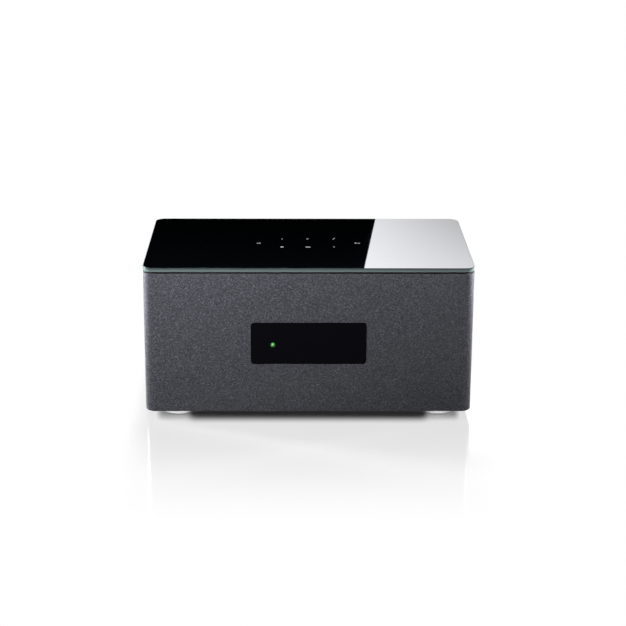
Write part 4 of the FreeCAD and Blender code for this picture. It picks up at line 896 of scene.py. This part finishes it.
# %% Phono sockets
def joined(name, pieces):
    """Several pieces as one mesh, with the finishes of the first."""
    work = bmesh.new()
    for piece in pieces:
        work.from_mesh(piece.data)
    made = new_piece(name, [], [], *pieces[0].data.materials)
    work.to_mesh(made.data)
    work.free()
    for piece in pieces:
        bpy.data.objects.remove(piece)
    return made


PHONO_LOW, PHONO_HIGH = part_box("phono_shells")
SHELL = 4.15
SHELL_WAIST = 4.0
SHELL_BORE = 3.75
SHELL_PROFILE = ((SHELL, 7), (SHELL_WAIST, 6.8), (SHELL_WAIST, 1.3), (SHELL, 1.1), (SHELL, 0.3),
                 (4.05, 0.08), (3.9, 0), (SHELL_BORE, 0.2))
RING_PROFILE = ((3.7, 1.0), (3.7, 0.7), (3.5, 0.6), (1.9, 0.6), (1.65, 0.8), (1.65, 1.0))
tip = PHONO_HIGH.y
root = PHONO_LOW.y
shells, red_rings, white_rings = [], [], []
for x in (PHONO_LOW.x + SHELL*MM, PHONO_HIGH.x - SHELL*MM):
    for z, rings, finish in ((PHONO_LOW.z + SHELL*MM, red_rings, red_plastic),
                             (PHONO_HIGH.z - SHELL*MM, white_rings, white_plastic)):
        profile = [(SHELL*MM, root), *[(radius*MM, tip - depth*MM) for radius, depth in SHELL_PROFILE],
                   (SHELL_BORE*MM, root)]
        shells.append(turned("shell", profile, (x, z), "Y", 48, gold, closed=True))
        profile = [(radius*MM, tip - depth*MM) for radius, depth in RING_PROFILE]
        rings.append(turned("channel_ring", profile, (x, z), "Y", 40, finish, closed=True))
barrels = joined("phono_barrels", shells)
soften(barrels, 40)
settle(barrels, "gold_plate", "phono_shells")
for name, rings in (("white_channel_rings", white_rings), ("red_channel_rings", red_rings)):
    channel = joined(name, rings)
    soften(channel)
    settle(channel, "phono_moulding")

# %% [markdown]
# Contacts are small gold blocks in rows: the eight springs of the network jack,
# which slope a little, and the nineteen contacts on each HDMI tongue, ten above and
# nine below. The point of a contact carries its size.

# %% Rows of contacts
JACK_LOW, JACK_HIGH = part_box("network_socket")
SPRINGS, SPRING_PITCH, SPRING_SLOPE, SPRING_SIZE = 8, 1.02*MM, 0.28, (0.45*MM, 8*MM, 0.3*MM)
SPRING_Y, SPRING_Z = JACK_HIGH.y - 5.5*MM, JACK_LOW.z + 3.4*MM
CONTACT_PITCH, CONTACT_SIZE, CONTACT_BACK = 1.0*MM, (0.5*MM, 6.4*MM, 0.12*MM), 5*MM


def unit_block(tree, edge):
    return tree.node("GeometryNodeMeshCube", {}, {"Size": edge})


def row(count, pitch, middle, y, z, slope, size):
    """A row along X of places for contacts."""
    return [((middle + (i - (count - 1)/2)*pitch, y, z), (slope, 0, 0), size) for i in range(count)]


places = row(SPRINGS, SPRING_PITCH, JACK_X, SPRING_Y, SPRING_Z, SPRING_SLOPE, SPRING_SIZE)
for center, mouth in HDMI_CENTERS:
    for count, side in ((10, 1), (9, -1)):
        z = center.z + TONGUE_LIFT + side*(TONGUE_THICK/2)
        places += row(count, CONTACT_PITCH, center.x, mouth - CONTACT_BACK, z, 0, CONTACT_SIZE)
contacts = set_out("socket_contacts", places, unit_block, gold, {"Block Edge": 1.0})
settle(contacts, "gold_plate")

# %% [markdown]
# The rear panel carries a few generic signs, and they are thin plates of ink as on
# the lid: numbers under the HDMI sockets, thin lines round the groups, and plus and
# minus at the terminals. Seen from behind, right is towards negative X.

# %% Signs on the rear panel
DIGITS = {1: ((), ((0, 1), (0, -1))), 2: ((1, 0, -1), ((1, 1), (-1, -1))),
          3: ((1, 0, -1), ((1, 1), (1, -1)))}
LEFTWARDS, UPWARDS = Vector((-1, 0, 0)), Vector((0, 0, 1))
PANEL_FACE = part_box("rear_panel")[1].y
BLOCK_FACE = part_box("terminal_block")[1].y
PLUS_HEIGHT, MINUS_HEIGHT, BESIDE_CAP = 59*MM, 37*MM, 9.2*MM


def digit(number, y, size=1.0, width=0.42):
    """A number made of bars, as on a seven segment display."""
    levels, uprights = DIGITS[number]
    shapes = [bar(0, y + level*size, size + width, width) for level in levels]
    return shapes + [bar(side*size/2, y + end*size/2, width, size + width) for side, end in uprights]


def line_frame(width, height, line=0.3):
    return [bar(0, height/2, width, line), bar(0, -height/2, width, line),
            bar(-width/2, 0, line, height), bar(width/2, 0, line, height)]


def on_panel(shapes, x, z, face=PANEL_FACE):
    return shapes, Vector((x, face, z)), LEFTWARDS, UPWARDS


rear_signs = [on_panel(digit(number, -6.6), center.x, center.z)
              for number, (center, mouth) in enumerate(reversed(HDMI_CENTERS), 1)]
hdmi_middle = HDMI_CENTERS[1][0]
phono_middle = (PHONO_LOW + PHONO_HIGH)/2
rear_signs.append(on_panel(line_frame(76, 22), hdmi_middle.x, hdmi_middle.z - 1.6*MM))
rear_signs.append(on_panel(line_frame(31, 27), phono_middle.x, phono_middle.z))
for center in CAP_CENTERS[:3]:
    x = center[0] + BESIDE_CAP
    rear_signs.append(on_panel([bar(0, 0, 2.6, 0.6), bar(0, 0, 0.6, 2.6)], x, PLUS_HEIGHT, BLOCK_FACE))
    rear_signs.append(on_panel([bar(0, 0, 2.6, 0.6)], x, MINUS_HEIGHT, BLOCK_FACE))
print_signs("rear_signs", rear_signs, "black_coat")

# %% [markdown]
# The rocker has I and O on its two sloping faces. They ride on its body, so they
# tilt with it. At rest the rocker is tilted by 8 degrees about its pin.

# %% Signs on the rocker
ROCKER_TILT = math.radians(8)
ROCKER_PIVOT = Vector((103*MM, 77*MM, 80*MM))
VALLEY, RIDGE, HALF = 4.6*MM, 6.0*MM, 5.2*MM
tilt = Matrix.Rotation(-ROCKER_TILT, 3, "X")
rocker_signs = []
for side, shapes in ((1, [bar(0, 0, 0.55, 2.6)]), (-1, [ring_sector(1.4, 0.5, 0, 360, 32)])):
    slope = Vector((0, RIDGE - VALLEY, side*HALF)).normalized()
    spot = Vector((0, (VALLEY + RIDGE)/2 + INK, side*HALF/2))
    rocker_signs.append((shapes, ROCKER_PIVOT + tilt @ spot, LEFTWARDS, tilt @ (side*slope)))
print_signs("rocker_signs", rocker_signs, "black_moulding", "rocker")

# %% [markdown]
# The object stands on a glossy white sheet that mirrors it faintly. The sheet is
# dark only close to the object and soon turns pure white. Lamps alone don't draw
# that, so for the camera the sheet glows by its distance from the object, and the
# dark close to it is a painted shadow. The distance grows in front of the case,
# slowly past its sides and fast behind it. At the feet it starts a little higher,
# which paints the floor lighter there than between them.

# %% How far the floor is from the object
FLOOR_CORNERS = [(-8, -8, 0), (8, -8, 0), (8, 12, 0), (-8, 12, 0)]
FOOT_INNER, FOOT_OUTER, FOOT_PAINTED_LIGHT = 0.100, 0.114, 0.017
SIDE_EDGE, FRONT_EDGE, REAR_EDGE = 0.134, 0.077, 0.06
SIDE_SLOPE, SIDE_POWER, REAR_SLOPE = 15.0, 2.0, 8

floor = new_piece("floor", FLOOR_CORNERS, [(0, 1, 2, 3)])
sheet = Finish("floor_paint", Emission_Strength=1.0)
side = abs(sheet.along("X"))
depth = sheet.along("Y")


def rise(value, start, end, top=1.0):
    """A smooth step from 0 to the top value."""
    return sheet.node("ShaderNodeMapRange", {"interpolation_type": "SMOOTHSTEP"}, {
        "Value": value, "From Min": start, "From Max": end, "To Max": top})


outside = ((side - SIDE_EDGE) * SIDE_SLOPE).larger(0.0) ** SIDE_POWER
# Painted light: the floor at the feet is lighter than between them.
painted_light_at_feet = rise(side, FOOT_INNER, FOOT_OUTER, FOOT_PAINTED_LIGHT)
reach = sheet.node("ShaderNodeCombineXYZ", {}, {
    0: outside + painted_light_at_feet, 1: (depth + FRONT_EDGE) * -1, 2: (depth - REAR_EDGE) * REAR_SLOPE})
beyond = sheet.node("ShaderNodeVectorMath", {"operation": "MAXIMUM"}, {0: reach, 1: (0, 0, 0)})
away = sheet.node("ShaderNodeVectorMath", {"operation": "LENGTH"}, {0: beyond}, "Value")
print("floor laid")

# %% [markdown]
# For the camera the sheet reflects little light, so that no lamp draws a shape of
# its own on it. Its glow is a painted shadow: it rises from near black at the edge
# of the shadow to a light grey, and a second, wider step turns it pure white. What
# the object mirrors of the sheet is one even tone, which lights the feet and the
# lower edge.

# %% The tones of the floor
SHADOW_STEP = (0.0095, 0.033)
WHITE_STEP = (0.04, 0.26)
MIRRORED_SHARE = 0.36


def grey(value):
    return (value, value, value, 1)


seen = sheet.rays("Is Camera Ray")
mirrored = sheet.rays("Is Glossy Ray")
sheet.feed("Roughness", sheet.noise(3) * 0.02 + 0.08)
sheet.feed("Base Color", sheet.blend(seen + mirrored, grey(0.2), sheet.blend(seen, grey(0.9), grey(0.12))))
# Emission near the object is kept near black: a painted shadow round the case.
sheet.feed("Emission Color", sheet.blend(
    rise(away, *SHADOW_STEP) * seen + mirrored * MIRRORED_SHARE, grey(0.014), grey(0.7)))
white = sheet.node("ShaderNodeEmission", {}, {"Strength": 1.0})
sheet.surface(sheet.node("ShaderNodeMixShader", {}, {
    0: rise(away, *WHITE_STEP) * seen, 1: Wire(sheet, sheet.shader.outputs[0]), 2: white}))
floor.data.materials.append(sheet.material)
print("floor painted")

# %% [markdown]
# The world is white where the camera or a reflection sees it, and much softer as a
# light, so that the lamps give the object its form. Overhead it is darker for
# reflections too, so that upward faces don't turn white.

# %% The world
WORLD_LIGHT = 0.2
OVERHEAD_LIGHT = 0.25

world = bpy.data.worlds.new("studio")
bpy.context.scene.world = world
world.use_nodes = True
sky = Nodes(world.node_tree)
toward = sky.node("ShaderNodeTexCoord", output="Generated")
height = sky.node("ShaderNodeSeparateXYZ", {}, {0: toward}, "Z")
overhead = sky.node("ShaderNodeMapRange", {}, {
    "Value": height, "From Min": 0.5, "From Max": 0.95, "To Min": 1.0, "To Max": OVERHEAD_LIGHT})
watched = sky.rays("Is Camera Ray").larger(sky.rays("Is Glossy Ray"))
level = sky.node("ShaderNodeMapRange", {}, {"Value": watched, "To Min": WORLD_LIGHT, "To Max": overhead})
backdrop = world.node_tree.nodes["Background"]
world.node_tree.links.new(level.socket, backdrop.inputs["Strength"])
backdrop.inputs["Color"].default_value = grey(1)
print("world", world.name)

# %% [markdown]
# The lid mirrors what stands behind the object: a black card, and to the right of
# it a bright, faintly cool panel with a slanted edge. Only reflections see them.
# Beside the front of the case hang two black flags, as in a studio. Nothing sees
# them, but they keep the beams of the side lamps off the floor in front.

# %% Cards and flags
DARK_CARD = [(x, 2.4, z) for x, z in ((-0.44, 0.66), (0.50, 0.66), (0.50, 1.02), (-0.44, 1.02))]
PANEL = [(x, 1.4919, z) for x, z in ((0.15248, 0.447), (0.37, 0.447), (0.37, 0.66), (0.109241, 0.66))]
FLAG_X = 0.3
FLAG_OUTLINE = ((-0.045, 0.02), (-0.25, 0.02), (-0.25, 0.26), (-0.045, 0.26))
COOL = (0.965, 0.97, 1.0)
BRIGHT_X, BRIGHT_Z, BRIGHTEST = 0.1216, 0.599, 3.82
FALL_ACROSS, FALL_DOWN, FALL_BOTH = 4.74, 9.8, 18


def card(name, corners, light=None, mirrored=True):
    """A card that only reflections see, or else a flag that only stops the light of lamps."""
    made = new_piece(name, corners, [(0, 1, 2, 3)])
    paint = Finish(name)
    strength = light(paint) if light else 0.0
    color = paint.node("ShaderNodeVectorMath", {"operation": "SCALE"}, {0: COOL, "Scale": strength})
    paint.surface(paint.node("ShaderNodeEmission", {}, {"Color": color, "Strength": 1.0}))
    made.data.materials.append(paint.material)
    made.visible_camera = False
    made.visible_diffuse = False
    made.visible_glossy = mirrored
    made.visible_shadow = not mirrored


def panel_light(paint):
    """Brightest at its upper left, as the photograph shows it in the lid."""
    across = paint.along("X") - BRIGHT_X
    down = BRIGHT_Z - paint.along("Z")
    return BRIGHTEST - across*FALL_ACROSS - down*FALL_DOWN - across*down*FALL_BOTH


card("dark_card", DARK_CARD)
card("bright_panel", PANEL, panel_light)
for name, x in (("left_flag", -FLAG_X), ("right_flag", FLAG_X)):
    card(name, [(x, y, z) for y, z in FLAG_OUTLINE], mirrored=False)
print("cards and flags hung")

# %% [markdown]
# Six lamps light the object. A strip above the front and a small key lamp at its
# left give the front its slow fall from top to bottom. A large lamp overhead lights
# the whole, two narrow beams from the sides draw the bright lines down the corners,
# and one behind shows the rear panel. The lid would mirror the two largest, so
# reflections don't see these.

# %% Lamps
def lamp_at(name, place, target, size, power, spread=180, mirrored=True):
    """A rectangular lamp with its beam narrowed to a spread in degrees."""
    light = bpy.data.lights.new(name, "AREA")
    light.shape = "RECTANGLE"
    light.size, light.size_y = size
    light.energy = power
    light.spread = math.radians(spread)
    made = bpy.data.objects.new(name, light)
    made.location = place
    made.rotation_euler = (Vector(target) - Vector(place)).to_track_quat("-Z", "Y").to_euler()
    bpy.context.scene.collection.objects.link(made)
    made.visible_camera = False
    made.visible_glossy = mirrored


lamp_at("front_top", (0.0, -0.7, 0.5), (0.0, -0.098, 0.225), (0.5, 0.1), 0.395, 36)
lamp_at("key", (-0.5, -0.75, 0.45), (-0.18, -0.098, 0.19), (0.2, 0.2), 0.37, 38)
lamp_at("top", (0, -0.35, 1.9), (0, -0.35, 0), (1.4, 1.2), 11.0, mirrored=False)
lamp_at("left", (-0.66, 0.1, 0.32), (-0.15, -0.1, 0.18), (0.14, 0.14), 2.1, 28)
lamp_at("right", (0.66, 0.1, 0.32), (0.15, -0.1, 0.205), (0.14, 0.14), 2.1, 25)
lamp_at("rear", (0, 1.3, 0.6), (0, 0.082, 0.1), (0.6, 0.4), 3.4, 34, mirrored=False)
print("lamps ready")

# %% [markdown]
# The camera stands where the photograph was taken: a little left of the middle,
# 17.5 degrees above the object, at 1.6 m. Its place, its turn and its lens come
# from matching corners of the case with their pixels.

# %% Camera
PITCH, YAW, ROLL = (math.radians(angle) for angle in (17.4825, 0.80008, 0.27769))
CAMERA_PLACE = (-0.01683, -1.5755, 0.56856)
LENS_MM, SENSOR_MM = 98.44, 36

turn = (Matrix.Rotation(-YAW, 4, "Z") @ Matrix.Rotation(math.pi/2 - PITCH, 4, "X")
        @ Matrix.Rotation(ROLL, 4, "Z"))
lens = bpy.data.cameras.new("camera")
lens.lens = LENS_MM
lens.sensor_width = SENSOR_MM
lens.clip_start = 0.01
camera = bpy.data.objects.new("camera", lens)
camera.matrix_world = Matrix.Translation(CAMERA_PLACE) @ turn
bpy.context.scene.collection.objects.link(camera)
bpy.context.scene.camera = camera
bpy.context.scene.view_settings.view_transform = "Standard"
print("camera at", CAMERA_PLACE)
